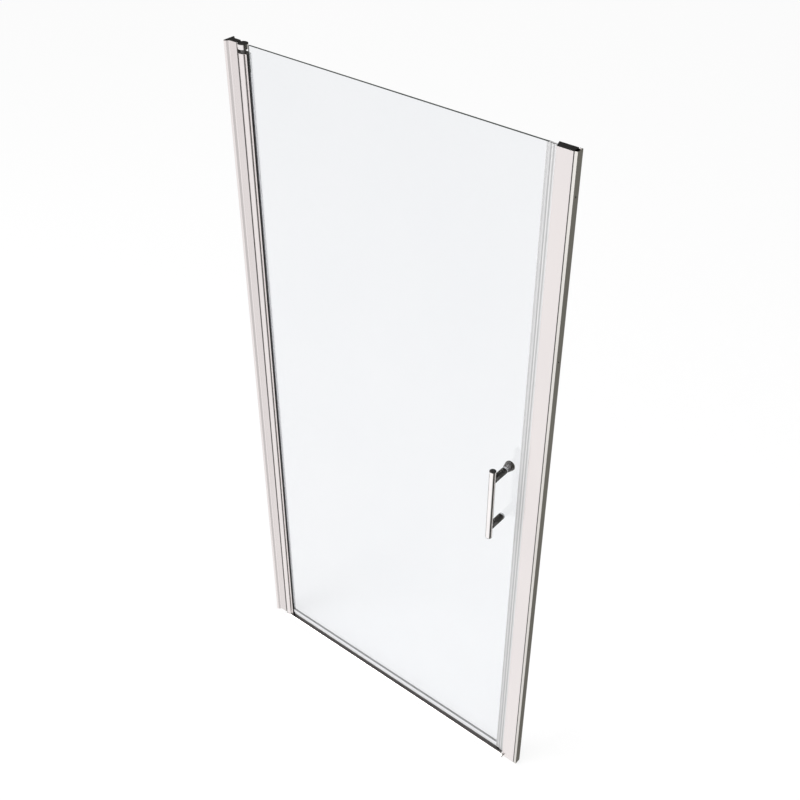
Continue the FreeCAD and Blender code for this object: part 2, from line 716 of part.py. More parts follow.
def strike_wall_channel():
    """Aluminium channel screwed to the wall, full height, which holds the strike's tail."""
    made = body("strike_wall_channel")
    lip = "(%s - strike_channel)" % STRIKE_WALL
    plate = "(%s - channel_wall)" % STRIKE_WALL
    pad(made, "XY", "0", "door_height", [
        (STRIKE_WALL, STRIKE_FRONT),
        (STRIKE_WALL, STRIKE_BACK),
        (lip, STRIKE_BACK),
        (lip, "(%s - channel_wall)" % STRIKE_BACK),
        (plate, "(%s - channel_wall)" % STRIKE_BACK),
        (plate, "(%s + channel_wall)" % STRIKE_FRONT),
        (lip, "(%s + channel_wall)" % STRIKE_FRONT),
        (lip, STRIKE_FRONT),
    ])
    wall_holes(made, plate, "(strike_depth / 2 - strike_front)")
    screw_holes(made, STRIKE_SCREW_X, "(%s - channel_wall - fit_gap)" % STRIKE_BACK,
                "(channel_wall + 2 * fit_gap)", "screw_margin", SCREW_TOP)
    return made


def strike_end_cap():
    """Flat black cap over the open top of the strike profile."""
    made = body("strike_end_cap")
    pad(made, "XY", CAP_LOW, "cap_thickness", [
        (STRIKE_EDGE, STRIKE_FRONT),
        (STRIKE_END, STRIKE_FRONT),
        (STRIKE_END, STRIKE_BACK),
        (slant(STRIKE_BACK), STRIKE_BACK),
    ])
    return made


def fixed_magnet_seal():
    """Soft seal in the strike's groove, with a pocket for the magnet strip."""
    made = body("fixed_magnet_seal")
    front = "(0 - housing_offset)"
    back = "(housing_depth - housing_offset)"
    neck_half = "(groove_mouth / 2 - fit_gap)"
    barb_half = "(groove_width / 2 - fit_gap)"
    mouth_front = "(%s - groove_mouth / 2)" % SEAL_MIDDLE
    lips = "(%s + strike_wall + fit_gap)" % slant(mouth_front)
    deep = "(%s + groove_depth - 2 * fit_gap)" % lips
    pocket_left = "(%s + housing_wall)" % MEETING
    pocket_right = "(%s + housing_reach - housing_wall)" % MEETING
    pad(made, "XY", "soft_low", "(%s - soft_low - seal_top_gap)" % CAP_LOW,
        [
            (MEETING, front),
            (slant(front), front),
            (slant("(%s - %s)" % (SEAL_MIDDLE, neck_half)),
             "(%s - %s)" % (SEAL_MIDDLE, neck_half)),
            (lips, "(%s - %s)" % (SEAL_MIDDLE, neck_half)),
            (lips, "(%s - %s)" % (SEAL_MIDDLE, barb_half)),
            (deep, "(%s - %s)" % (SEAL_MIDDLE, barb_half)),
            (deep, "(%s + %s)" % (SEAL_MIDDLE, barb_half)),
            (lips, "(%s + %s)" % (SEAL_MIDDLE, barb_half)),
            (lips, "(%s + %s)" % (SEAL_MIDDLE, neck_half)),
            (slant("(%s + %s)" % (SEAL_MIDDLE, neck_half)),
             "(%s + %s)" % (SEAL_MIDDLE, neck_half)),
            (slant(back), back),
            (MEETING, back),
        ],
        box(pocket_left, pocket_right,
            "(%s + housing_wall)" % front, "(%s - housing_wall)" % back),
        [
            ("(%s + housing_wall)" % pocket_right, "(%s + housing_wall)" % front),
            ("(%s - housing_wall)" % slant(front), "(%s + housing_wall)" % front),
            ("(%s - housing_wall)" % slant(back), "(%s - housing_wall)" % back),
            ("(%s + housing_wall)" % pocket_right, "(%s - housing_wall)" % back),
        ])
    return made


def magnet_strip(label, left, low, high):
    """Flexible magnet strip that fills its housing's pocket."""
    made = body(label)
    inset = "(housing_wall + fit_gap)"
    pad(made, "XY", low, "(%s - %s)" % (high, low),
        box("(%s + %s)" % (left, inset), "(%s + housing_reach - %s)" % (left, inset),
            "(%s - housing_offset)" % inset,
            "(housing_depth - housing_offset - %s)" % inset))
    return made


# ---- the door that turns ------------------------------------------------------------------

NOTCH_X = "(%s + leaf_reach + notch_side_gap)" % PIVOT
NOTCH_LOW = "(%s + bush_length + notch_margin)" % LEAF_LOW
NOTCH_TOP = "(%s - bush_length - notch_margin)" % LEAF_TOP


def glass_panel():
    """Clear panel, notched round both bushes and drilled for the handle."""
    made = body("glass_panel")
    left = "(%s + glass_set_in)" % PIVOT
    pad(made, "XZ", GLASS_FRONT, "glass_thickness",
        [
            (NOTCH_X, "glass_lift"),
            (GLASS_EDGE, "glass_lift"),
            (GLASS_EDGE, GLASS_TOP),
            (NOTCH_X, GLASS_TOP),
            (NOTCH_X, NOTCH_TOP),
            (left, NOTCH_TOP),
            (left, NOTCH_LOW),
            (NOTCH_X, NOTCH_LOW),
        ],
        (HANDLE, LOWER_POST, "(glass_hole / 2)"),
        (HANDLE, UPPER_POST, "(glass_hole / 2)"))
    return made


def hinge_leaf():
    """Full-height extrusion: a round barrel that opens into the glazing channel."""
    made = body("hinge_leaf", PIVOT)
    strip_start = "(leaf_reach - strip_width)"
    barrel_point = "(leaf_reach - strip_width - valley_width)"
    barrel_y = "(0 - sqrt(barrel_radius ^ 2 - %s ^ 2))" % barrel_point
    valley_x = "(leaf_reach - strip_width - valley_slope)"
    flat_start = "sqrt(barrel_radius ^ 2 - %s ^ 2)" % LEAF_BACK
    cavity_back = "sqrt(%s ^ 2 - %s ^ 2)" % (CAVITY, JAW_BACK)
    cavity_front = "sqrt(%s ^ 2 - %s ^ 2)" % (CAVITY, JAW_FRONT)
    pad(made, "XY", LEAF_LOW, "(%s - %s)" % (LEAF_TOP, LEAF_LOW), [
        ("leaf_reach", JAW_FRONT),
        (cavity_front, JAW_FRONT, "(0 - %s)" % CAVITY, "major"),
        (cavity_back, JAW_BACK),
        ("leaf_reach", JAW_BACK),
        ("leaf_reach", LEAF_BACK),
        (flat_start, LEAF_BACK, "barrel_radius", "major"),
        (barrel_point, barrel_y),
        (valley_x, "(%s + valley_depth)" % LEAF_FRONT),
        (strip_start, LEAF_FRONT),
        ("leaf_reach", LEAF_FRONT),
    ])
    return made


def glazing_gasket(label, front, back):
    """Black wedge gasket between a jaw of the leaf and the glass."""
    made = body(label, PIVOT)
    start = "(%s + fit_gap)" % CAVITY
    low = "(%s + gasket_inset)" % LEAF_LOW
    pad(made, "XY", low, "(%s - gasket_inset - %s)" % (LEAF_TOP, low),
        box(start, "(leaf_reach - gasket_inset)", front, back))
    return made


def bush(label, start, length, collar_start, collar_length):
    """Nylon bush: a round plug with a key that fills the glazing channel past the glass."""
    made = body(label, PIVOT)
    radius = "(%s - fit_gap)" % CAVITY
    front = "(%s + fit_gap)" % GLASS_FRONT
    back = "(%s - fit_gap)" % GLASS_BACK
    key = "(leaf_reach - fit_gap)"
    pad(made, "XY", start, length, [
        ("sqrt(%s ^ 2 - %s ^ 2)" % (radius, back), back, radius, "major"),
        ("sqrt(%s ^ 2 - %s ^ 2)" % (radius, front), front),
        (key, front),
        (key, back),
    ])
    if collar_length:
        pad(made, "XY", collar_start, collar_length, ("0", "0", "(collar_diameter / 2)"))
    pocket(made, "XY", "(%s - fit_gap)" % start,
           "(bush_length + leaf_top_gap + 2 * fit_gap)",
           ("0", "0", "(pin_diameter / 2 + running_gap)"))
    return made


def sweep_seal():
    """Clear seal under the glass: two legs up its faces and a lip down to the threshold."""
    made = body("sweep_seal")
    front = "(%s - soft_wall)" % GLASS_FRONT
    back = "(%s + soft_wall)" % GLASS_BACK
    leg_top = "(glass_lift + sweep_leg)"
    web = "(glass_lift - sweep_web)"
    lip_front = "((%s + %s) / 2 - sweep_lip / 2)" % (GLASS_FRONT, GLASS_BACK)
    lip_back = "(%s + sweep_lip)" % lip_front
    lip_low = "(threshold_height + clear_gap)"
    start = "(%s + seal_end_gap)" % NOTCH_X
    end = "(%s - bite_length - seal_end_gap)" % GLASS_EDGE
    pad(made, "YZ", start, "(%s - %s)" % (end, start), [
        (front, leg_top),
        (front, web),
        (lip_front, web),
        (lip_front, lip_low),
        (lip_back, lip_low),
        (lip_back, web),
        (back, web),
        (back, leg_top),
        (GLASS_BACK, leg_top),
        (GLASS_BACK, "glass_lift"),
        (GLASS_FRONT, "glass_lift"),
        (GLASS_FRONT, leg_top),
    ])
    return made


def door_magnet_seal():
    """Soft seal pushed on the glass's closing edge, with a magnet pocket."""
    made = body("door_magnet_seal")
    bite = "(%s - bite_length)" % GLASS_EDGE
    housing = "(%s - clear_gap - housing_reach)" % MEETING
    end = "(%s - clear_gap)" % MEETING
    front = "(0 - housing_offset)"
    back = "(housing_depth - housing_offset)"
    leg_front = "(%s - soft_wall)" % GLASS_FRONT
    leg_back = "(%s + soft_wall)" % GLASS_BACK
    pad(made, "XY", LEAF_LOW, "(%s - %s)" % (GLASS_TOP, LEAF_LOW),
        [
            (bite, leg_front),
            (housing, leg_front),
            (housing, front),
            (end, front),
            (end, back),
            (housing, back),
            (housing, leg_back),
            (bite, leg_back),
            (bite, GLASS_BACK),
            (GLASS_EDGE, GLASS_BACK),
            (GLASS_EDGE, GLASS_FRONT),
            (bite, GLASS_FRONT),
        ],
        box("(%s + housing_wall)" % housing, "(%s - housing_wall)" % end,
            "(%s + housing_wall)" % front, "(%s - housing_wall)" % back))
    return made


# ---- handle -------------------------------------------------------------------------------

def handle_bar():
    """Round tube, brazed to the saddles of its two posts."""
    made = body("handle_bar", HANDLE, BAR_AXIS, BAR_LOW)
    pad(made, "XY", "bar_cap", "(handle_length - 2 * bar_cap)",
        ("0", "0", "(bar_diameter / 2)"),
        ("0", "0", "(bar_diameter / 2 - bar_wall)"))
    return made


def handle_end_caps():
    """Two dark caps plugged into the ends of the bar."""
    made = body("handle_end_caps", HANDLE, BAR_AXIS, BAR_LOW)
    flange = "(bar_diameter / 2)"
    plug = "(bar_diameter / 2 - bar_wall - fit_gap)"
    depth = "(bar_cap + cap_plug)"
    top = "handle_length"
    turn(made, "XZ", [
        ("0", "0"),
        (flange, "0"),
        (flange, "bar_cap"),
        (plug, "bar_cap"),
        (plug, depth),
        ("0", depth),
    ])
    turn(made, "XZ", [
        ("0", "(%s - %s)" % (top, depth)),
        (plug, "(%s - %s)" % (top, depth)),
        (plug, "(%s - bar_cap)" % top),
        (flange, "(%s - bar_cap)" % top),
        (flange, top),
        ("0", top),
    ])
    return made


POST_FRONT = "(%s + saddle_reach)" % BAR_AXIS
POST_BACK = "(%s - clear_washer)" % GLASS_FRONT
STUD_START = "(%s - fixing_depth)" % POST_BACK
GRUB_Y = "(%s - grub_place)" % GLASS_FRONT


def handle_post(label, height):
    """Round post, coped to the bar, bored for its fixing and tapped below for a set screw."""
    made = body(label, HANDLE, "0", height)
    bore = "(stud_diameter / 2 + running_gap)"
    bore_end = "(%s - fit_gap)" % STUD_START
    radius = "(post_diameter / 2)"
    turn(made, "XY", [
        ("0", POST_FRONT),
        (radius, POST_FRONT),
        (radius, POST_BACK),
        (bore, POST_BACK),
        (bore, bore_end),
        ("0", bore_end),
    ])
    pocket(made, "XY", "(0 - %s)" % radius, "post_diameter",
           ("0", BAR_AXIS, "(bar_diameter / 2 + running_gap)"))
    pocket(made, "XY", "(0 - %s - fit_gap)" % radius, "(%s - stud_diameter / 2)" % radius,
           ("0", GRUB_Y, "(grub_diameter / 2 + running_gap)"))
    return made


def handle_washers():
    """A clear washer under each post."""
    made = body("handle_washers", HANDLE)
    radius = "(post_diameter / 2)"
    hole = "(stud_diameter / 2 + running_gap)"
    pad(made, "XZ", POST_BACK, "clear_washer",
        ("0", LOWER_POST, radius),
        ("0", LOWER_POST, hole),
        ("0", UPPER_POST, radius),
        ("0", UPPER_POST, hole))
    return made


def glass_sleeves():
    """Clear top-hat sleeves, pushed into the two holes of the glass from behind."""
    made = body("glass_sleeves", HANDLE)
    sleeve = "(glass_hole / 2 - running_gap)"
    brim = "(knob_base / 2)"
    hole = "(stud_diameter / 2 + running_gap)"
    pad(made, "XZ", GLASS_FRONT, "glass_thickness",
        ("0", LOWER_POST, sleeve),
        ("0", LOWER_POST, hole),
        ("0", UPPER_POST, sleeve),
        ("0", UPPER_POST, hole))
    pad(made, "XZ", GLASS_BACK, "clear_washer",
        ("0", LOWER_POST, brim),
        ("0", LOWER_POST, hole),
        ("0", UPPER_POST, brim),
        ("0", UPPER_POST, hole))
    return made


KNOB_START = "(%s + clear_washer)" % GLASS_BACK


def inner_knob():
    """Conical knob behind the glass, with a straight rim and a flat end."""
    made = body("inner_knob", HANDLE, KNOB_START, UPPER_POST)
    bore = "(stud_diameter / 2 + running_gap)"
    rim = "(knob_end / 2)"
    turn(made, "XY", [
        (bore, "0"),
        ("(knob_base / 2)", "0"),
        (rim, "(knob_length - knob_rim)"),
        (rim, "knob_length"),
        ("0", "knob_length"),
        ("0", "knob_bore"),
        (bore, "knob_bore"),
    ])
    return made


def upper_fixing_stud():
    """Threaded stud from the upper post through the glass into the knob."""
    made = body("upper_fixing_stud", HANDLE, "0", UPPER_POST)
    end = "(%s + stud_in_knob)" % KNOB_START
    pad(made, "XZ", STUD_START, "(%s - %s)" % (end, STUD_START),
        ("0", "0", "(stud_diameter / 2)"))
    return made


def lower_fixing_screw():
    """Flat-headed screw from behind the glass into the lower post."""
    made = body("lower_fixing_screw", HANDLE, "0", LOWER_POST)
    shank = "(stud_diameter / 2)"
    head = "(fixing_head / 2)"
    turn(made, "XY", [
        ("0", STUD_START),
        (shank, STUD_START),
        (shank, KNOB_START),
        (head, KNOB_START),
        (head, "(%s + fixing_head_height)" % KNOB_START),
        ("0", "(%s + fixing_head_height)" % KNOB_START),
    ])
    return made


def handle_set_screws():
    """A set screw up into each post, tight on its fixing."""
    made = body("handle_set_screws", HANDLE, GRUB_Y, LOWER_POST)
    radius = "(post_diameter / 2)"
    first = pad(made, "XY", "(0 - %s + 2 * fit_gap)" % radius,
                "(%s - stud_diameter / 2 - 4 * fit_gap)" % radius,
                ("0", "0", "(grub_diameter / 2)"))
    repeat(made, first, "post_spacing")
    return made


# ---- assembly -----------------------------------------------------------------------------

hinge_jamb()
jamb_end_cap()
hinge_wall_channel()
cheese_head_screws("jamb_fixing_screws", JAMB_SCREW_X, NECK_BACK, "screw_margin", SCREW_SPAN,
                   "(jamb_wall + fit_gap + channel_wall + screw_past)")
jamb_seal()
pivot_head("top_pivot_head", TOP_HEAD_LOW, "(%s - fit_gap)" % TOP_HEAD_LOW, TOP_SCREW)
pivot_head("bottom_pivot_head", "0", "(head_height - pin_set)", BOTTOM_SCREW)
top_pivot_cap()
pivot_pin("top_pivot_pin", "(%s - pin_reach)" % LEAF_TOP, "(pin_reach + leaf_top_gap + pin_set)")
pivot_pin("bottom_pivot_pin", "(head_height - pin_set + fit_gap)",
          "(pin_set - fit_gap + washer_thickness + axial_gap + pin_reach)")
thrust_washer()
cheese_head_screws("pivot_head_screws", HEAD_SCREW_X, NECK_BACK, BOTTOM_SCREW,
                   "(%s - %s)" % (TOP_SCREW, BOTTOM_SCREW), "(jamb_wall + head_screw_length)")
threshold_bar()
threshold_end_cap()
strike_profile()
strike_wall_channel()
strike_end_cap()
cheese_head_screws("strike_fixing_screws", STRIKE_SCREW_X, STRIKE_BACK, "screw_margin", SCREW_SPAN,
                   "(channel_wall + tail_gap + strike_wall + screw_past)")
fixed_magnet_seal()
magnet_strip("fixed_magnet_strip", MEETING, "(soft_low + magnet_end)",
             "(%s - seal_top_gap - magnet_end)" % CAP_LOW)

glass_panel()
hinge_leaf()
glazing_gasket("front_glazing_gasket", JAW_FRONT, GLASS_FRONT)
glazing_gasket("back_glazing_gasket", GLASS_BACK, JAW_BACK)
bush("bottom_bush", LEAF_LOW, "bush_length", "0", "")
bush("top_bush", "(%s - bush_length)" % LEAF_TOP, "bush_length", LEAF_TOP,
     "(leaf_top_gap - clear_gap)")
sweep_seal()
door_magnet_seal()
magnet_strip("door_magnet_strip", "(%s - clear_gap - housing_reach)" % MEETING,
             "(%s + magnet_end)" % LEAF_LOW, "(%s - magnet_end)" % GLASS_TOP)
handle_bar()
handle_end_caps()
handle_post("upper_handle_post", UPPER_POST)
handle_post("lower_handle_post", LOWER_POST)
handle_washers()
glass_sleeves()
inner_knob()
upper_fixing_stud()
lower_fixing_screw()
handle_set_screws()


# ---- checks and files ---------------------------------------------------------------------

doc.recompute()
for item in doc.Objects:
    if "Invalid" in item.State or "Error" in item.State:
        raise ValueError("%s failed: %s" % (item.Label, item.State))

bodies = [item for item in doc.Objects if item.TypeId == "PartDesign::Body"]
os.makedirs("parts", exist_ok=True)
for item in bodies:
    shape = item.Shape
    if shape.isNull() or not shape.isValid():
        raise ValueError("%s has no valid shape" % item.Label)
for item in bodies:
    item.Shape.exportStep("parts/%s.step" % item.Label)
    extent = item.Shape.BoundBox
    print("%-24s %d solids, volume %.0f" % (item.Label, len(item.Shape.Solids), item.Shape.Volume))
    print("    x %.2f %.2f  y %.2f %.2f  z %.2f %.2f" % (
        extent.XMin, extent.XMax, extent.YMin, extent.YMax, extent.ZMin, extent.ZMax))
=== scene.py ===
"""Pivot shower door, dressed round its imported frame. Metres, X from the hinge wall to the strike
wall, Y from the room into the shower, Z up, the pivot line at the left."""
import bmesh
import bpy
import json
import math
from mathutils import Matrix, Vector, geometry


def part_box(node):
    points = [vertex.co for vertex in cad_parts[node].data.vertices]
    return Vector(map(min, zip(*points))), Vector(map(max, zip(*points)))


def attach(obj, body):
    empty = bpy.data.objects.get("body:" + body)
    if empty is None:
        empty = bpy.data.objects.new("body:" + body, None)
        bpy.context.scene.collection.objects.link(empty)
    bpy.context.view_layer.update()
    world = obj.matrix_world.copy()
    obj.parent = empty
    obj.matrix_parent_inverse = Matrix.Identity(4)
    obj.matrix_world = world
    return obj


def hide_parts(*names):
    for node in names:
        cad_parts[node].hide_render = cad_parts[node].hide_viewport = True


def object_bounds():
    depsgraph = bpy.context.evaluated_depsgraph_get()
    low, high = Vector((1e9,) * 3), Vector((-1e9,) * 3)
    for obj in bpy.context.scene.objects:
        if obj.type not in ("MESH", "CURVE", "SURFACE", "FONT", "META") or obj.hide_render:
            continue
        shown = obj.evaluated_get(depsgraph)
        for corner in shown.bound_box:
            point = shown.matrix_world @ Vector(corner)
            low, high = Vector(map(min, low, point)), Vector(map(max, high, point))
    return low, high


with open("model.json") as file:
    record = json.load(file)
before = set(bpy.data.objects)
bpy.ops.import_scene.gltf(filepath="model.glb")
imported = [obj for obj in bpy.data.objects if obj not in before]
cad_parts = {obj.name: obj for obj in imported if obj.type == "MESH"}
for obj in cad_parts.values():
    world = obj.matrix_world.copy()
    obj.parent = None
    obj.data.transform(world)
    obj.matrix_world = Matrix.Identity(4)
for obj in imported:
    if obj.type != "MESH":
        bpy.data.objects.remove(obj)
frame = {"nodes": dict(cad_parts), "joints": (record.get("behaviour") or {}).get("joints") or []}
cad_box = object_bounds()


# ---- studio ---------------------------------------------------------------------------------
# A pale floor, two broad soft lamps and an even sky. What the polished metal mirrors is bright
# before the door, dim behind it and dark between the two, as in a booth that is open on the
# photographer's side.

MIRRORED_FRONT = (1.0, 0.985, 0.98, 1)
MIRRORED_BACK = (0.045, 0.043, 0.038, 1)
OPEN_SIDE = (-0.301, -0.954, 0)
SCREEN_EDGE = 0.38
SCREEN_BLEND = 0.27
MIRRORED_DIM = (0.44, 0.435, 0.41, 1)
DIM_SIDE = (-0.174, 0.985, 0)
DIM_EDGE = 0.38
DIM_BLEND = 0.12
DIM_TOP = 0.3


def node(tree, kind, **settings):
    """A new node with some of its properties or input values set."""
    made = tree.nodes.new(kind)
    for name, setting in settings.items():
        if hasattr(made, name):
            setattr(made, name, setting)
        else:
            made.inputs[name.replace("_", " ")].default_value = setting
    return made


def wire(tree, start, end):
    """Link two sockets."""
    tree.links.new(start, end)


def seen_plainly(tree, path):
    """One for what the camera sees directly or through glass, else nought."""
    seen = node(tree, "ShaderNodeMath", operation="MAXIMUM")
    wire(tree, path.outputs["Is Camera Ray"], seen.inputs[0])
    wire(tree, path.outputs["Is Transmission Ray"], seen.inputs[1])
    return seen.outputs[0]


def seen_mirrored(tree, path):
    """One for what is seen in polished metal, else nought."""
    seen = node(tree, "ShaderNodeMath", operation="MINIMUM")
    seen.inputs[1].default_value = 1
    wire(tree, path.outputs["Glossy Depth"], seen.inputs[0])
    return seen.outputs[0]


def pick(tree, chance, plain, other):
    """Mix two shaders."""
    mixed = node(tree, "ShaderNodeMixShader")
    wire(tree, chance, mixed.inputs[0])
    wire(tree, plain, mixed.inputs[1])
    wire(tree, other, mixed.inputs[2])
    return mixed.outputs[0]


floor_finish = bpy.data.materials.new("studio_floor")
floor_finish.use_nodes = True
tree = floor_finish.node_tree
tree.nodes.clear()
path = node(tree, "ShaderNodeLightPath")
plain = node(tree, "ShaderNodeBsdfDiffuse", Color=(0.8, 0.8, 0.8, 1))
faint = node(tree, "ShaderNodeBsdfDiffuse", Color=(0.3, 0.3, 0.3, 1))
glow = node(tree, "ShaderNodeEmission", Color=(1, 1, 1, 1), Strength=0.7)
white = node(tree, "ShaderNodeAddShader")
wire(tree, faint.outputs[0], white.inputs[0])
wire(tree, glow.outputs[0], white.inputs[1])
shown = pick(tree, seen_plainly(tree, path), plain.outputs[0], white.outputs[0])
passed = node(tree, "ShaderNodeBsdfTransparent")
end = node(tree, "ShaderNodeOutputMaterial")
wire(tree, pick(tree, seen_mirrored(tree, path), shown, passed.outputs[0]), end.inputs[0])

FLOOR_HALF = 40.0
FLOOR_DROP = 0.0005
floor_mesh = bpy.data.meshes.new("studio_floor")
floor_mesh.from_pydata([(-FLOOR_HALF, -FLOOR_HALF, 0), (FLOOR_HALF, -FLOOR_HALF, 0),
                        (FLOOR_HALF, FLOOR_HALF, 0), (-FLOOR_HALF, FLOOR_HALF, 0)],
                       [], [(0, 1, 2, 3)])
floor = bpy.data.objects.new("studio_floor", floor_mesh)
floor.location.z = -FLOOR_DROP
floor.data.materials.append(floor_finish)
bpy.context.scene.collection.objects.link(floor)

sky = bpy.data.worlds.new("studio_sky")
sky.use_nodes = True
tree = sky.node_tree
tree.nodes.clear()
path = node(tree, "ShaderNodeLightPath")
even = node(tree, "ShaderNodeBackground", Color=(1, 1, 1, 1), Strength=0.85)
white = node(tree, "ShaderNodeBackground", Color=(1, 1, 1, 1), Strength=1)
booth = node(tree, "ShaderNodeBackground", Strength=1)
direction = node(tree, "ShaderNodeTexCoord")
flat = node(tree, "ShaderNodeVectorMath", operation="MULTIPLY")
flat.inputs[1].default_value = (1, 1, 0)
heading = node(tree, "ShaderNodeVectorMath", operation="NORMALIZE")
climb = node(tree, "ShaderNodeSeparateXYZ")
lowness = node(tree, "ShaderNodeMapRange")
lowness.inputs["From Min"].default_value = DIM_TOP
lowness.inputs["From Max"].default_value = 0
dimmed = node(tree, "ShaderNodeMix", data_type="RGBA")
dimmed.inputs[6].default_value = MIRRORED_BACK
dimmed.inputs[7].default_value = MIRRORED_DIM
wire(tree, direction.outputs["Generated"], climb.inputs[0])
wire(tree, climb.outputs["Z"], lowness.inputs["Value"])
wire(tree, lowness.outputs[0], dimmed.inputs[0])
wire(tree, direction.outputs["Generated"], flat.inputs[0])
wire(tree, flat.outputs[0], heading.inputs[0])
front = node(tree, "ShaderNodeRGB")
front.outputs[0].default_value = MIRRORED_FRONT
colour = None
for faced, edge, blend, light in ((DIM_SIDE, DIM_EDGE, DIM_BLEND, dimmed.outputs[2]),
                                  (OPEN_SIDE, SCREEN_EDGE, SCREEN_BLEND, front.outputs[0])):
    towards = node(tree, "ShaderNodeVectorMath", operation="DOT_PRODUCT")
    towards.inputs[1].default_value = faced
    side = node(tree, "ShaderNodeMapRange", interpolation_type="SMOOTHSTEP")
    side.inputs["From Min"].default_value = edge - blend
    side.inputs["From Max"].default_value = edge + blend
    tint = node(tree, "ShaderNodeMix", data_type="RGBA")
    tint.inputs[6].default_value = MIRRORED_BACK
    wire(tree, light, tint.inputs[7])
    wire(tree, heading.outputs[0], towards.inputs[0])
    wire(tree, towards.outputs["Value"], side.inputs["Value"])
    wire(tree, side.outputs[0], tint.inputs[0])
    if colour is not None:
        wire(tree, colour, tint.inputs[6])
    colour = tint.outputs[2]
wire(tree, colour, booth.inputs["Color"])
shown = pick(tree, seen_plainly(tree, path), even.outputs[0], white.outputs[0])
end = node(tree, "ShaderNodeOutputWorld")
wire(tree, pick(tree, seen_mirrored(tree, path), shown, booth.outputs[0]), end.inputs[0])
bpy.context.scene.world = sky

LAMP_AIM = Vector((0, 0, 0.9))
LAMPS = (("key_lamp", (-2.2, -3.6, 3.6), 3.0, 95), ("fill_lamp", (3.4, -2.6, 3.0), 3.0, 45))
for name, place, width, power in LAMPS:
    lamp = bpy.data.lights.new(name, "AREA")
    lamp.shape = "SQUARE"
    lamp.size = width
    lamp.energy = power
    holder = bpy.data.objects.new(name, lamp)
    holder.location = place
    aim = LAMP_AIM - Vector(place)
    holder.rotation_euler = aim.to_track_quat("-Z", "Y").to_euler()
    bpy.context.scene.collection.objects.link(holder)

CAMERA_PLACE = Vector((1.5085, -1.7921, 2.8888))
CAMERA_AZIMUTH = math.radians(39.375)
CAMERA_PITCH = math.radians(37.186)
CAMERA_LENS = 51.081
camera = bpy.data.cameras.new("camera")
camera.lens = CAMERA_LENS
camera.sensor_width = 36
camera.clip_end = 200
eye = bpy.data.objects.new("camera", camera)
eye.location = CAMERA_PLACE
look = Vector((-math.sin(CAMERA_AZIMUTH) * math.cos(CAMERA_PITCH),
               math.cos(CAMERA_AZIMUTH) * math.cos(CAMERA_PITCH), -math.sin(CAMERA_PITCH)))
eye.rotation_euler = look.to_track_quat("-Z", "Y").to_euler()
bpy.context.scene.collection.objects.link(eye)
bpy.context.scene.camera = eye
bpy.context.scene.view_settings.view_transform = "Standard"


# ---- hinge wall channel ---------------------------------------------------------------------
# Satin aluminium channel screwed to the tiles. The jamb slides over it and hides it, and only
# its lower end and its screw holes can be seen, from below or from the wall.

MM = 0.001
EDGE_ANGLE = math.radians(34)
FLAT_ANGLE = math.radians(0.05)
PLAIN_EDGE = 0.15 * MM
WELD = 0.002 * MM
DIE_LINES = 0.02 * MM
EVEN = (1, 1, 1)
UPRIGHT = (1, 1, 0.004)
DRIFTING = (1, 1, 0.2)
NOISE_LOW = 0.3
NOISE_HIGH = 0.7
FACING = 0.9


def surface(name, colour, rough, metallic=0.0):
    """A material with one Principled shader, its tree and that shader."""
    made = bpy.data.materials.new(name)
    made.use_nodes = True
    made.diffuse_color = (*colour, 1)
    shader = made.node_tree.nodes["Principled BSDF"]
    shader.inputs["Base Color"].default_value = (*colour, 1)
    shader.inputs["Roughness"].default_value = rough
    shader.inputs["Metallic"].default_value = metallic
    return made, made.node_tree, shader


def noise_on(tree, scale, stretch=EVEN, detail=3.0):
    """Noise over the piece's own coordinates, drawn out along an axis by stretch."""
    place = node(tree, "ShaderNodeTexCoord")
    shape = node(tree, "ShaderNodeMapping")
    shape.inputs["Scale"].default_value = stretch
    noise = node(tree, "ShaderNodeTexNoise", Scale=scale, Detail=detail)
    wire(tree, place.outputs["Object"], shape.inputs[0])
    wire(tree, shape.outputs[0], noise.inputs["Vector"])
    return noise.outputs["Fac"]


def vary(tree, source, low, high, socket):
    """Spread a noise between two values of a shader's input."""
    spread = node(tree, "ShaderNodeMapRange")
    spread.inputs["From Min"].default_value = NOISE_LOW
    spread.inputs["From Max"].default_value = NOISE_HIGH
    spread.inputs["To Min"].default_value = low
    spread.inputs["To Max"].default_value = high
    wire(tree, source, spread.inputs["Value"])
    wire(tree, spread.outputs[0], socket)


def tone(tree, source, dark, light, socket):
    """Spread a noise between two colours."""
    ramp = node(tree, "ShaderNodeValToRGB")
    ramp.color_ramp.elements[0].position = NOISE_LOW
    ramp.color_ramp.elements[1].position = NOISE_HIGH
    ramp.color_ramp.elements[0].color = (*dark, 1)
    ramp.color_ramp.elements[1].color = (*light, 1)
    wire(tree, source, ramp.inputs[0])
    wire(tree, ramp.outputs[0], socket)


def relief(tree, source, depth, shader):
    """Bump of a given depth in metres from a noise."""
    bump = node(tree, "ShaderNodeBump", Distance=depth)
    wire(tree, source, bump.inputs["Height"])
    wire(tree, bump.outputs[0], shader.inputs["Normal"])


def finish(name, colour, rough, metallic, tones, roughness, scales, along=EVEN, drift=EVEN,
           detail=3.0, depth=0.0, **others):
    """A material that drifts between two tones, with a finer grain in its roughness."""
    made, tree, shader = surface(name, colour, rough, metallic)
    cloud, fine = scales
    tone(tree, noise_on(tree, cloud, drift), *tones, shader.inputs["Base Color"])
    grain = noise_on(tree, fine, along, detail)
    vary(tree, grain, *roughness, shader.inputs["Roughness"])
    if depth:
        relief(tree, grain, depth, shader)
    for other, setting in others.items():
        shader.inputs[other.replace("_", " ")].default_value = setting
    return made


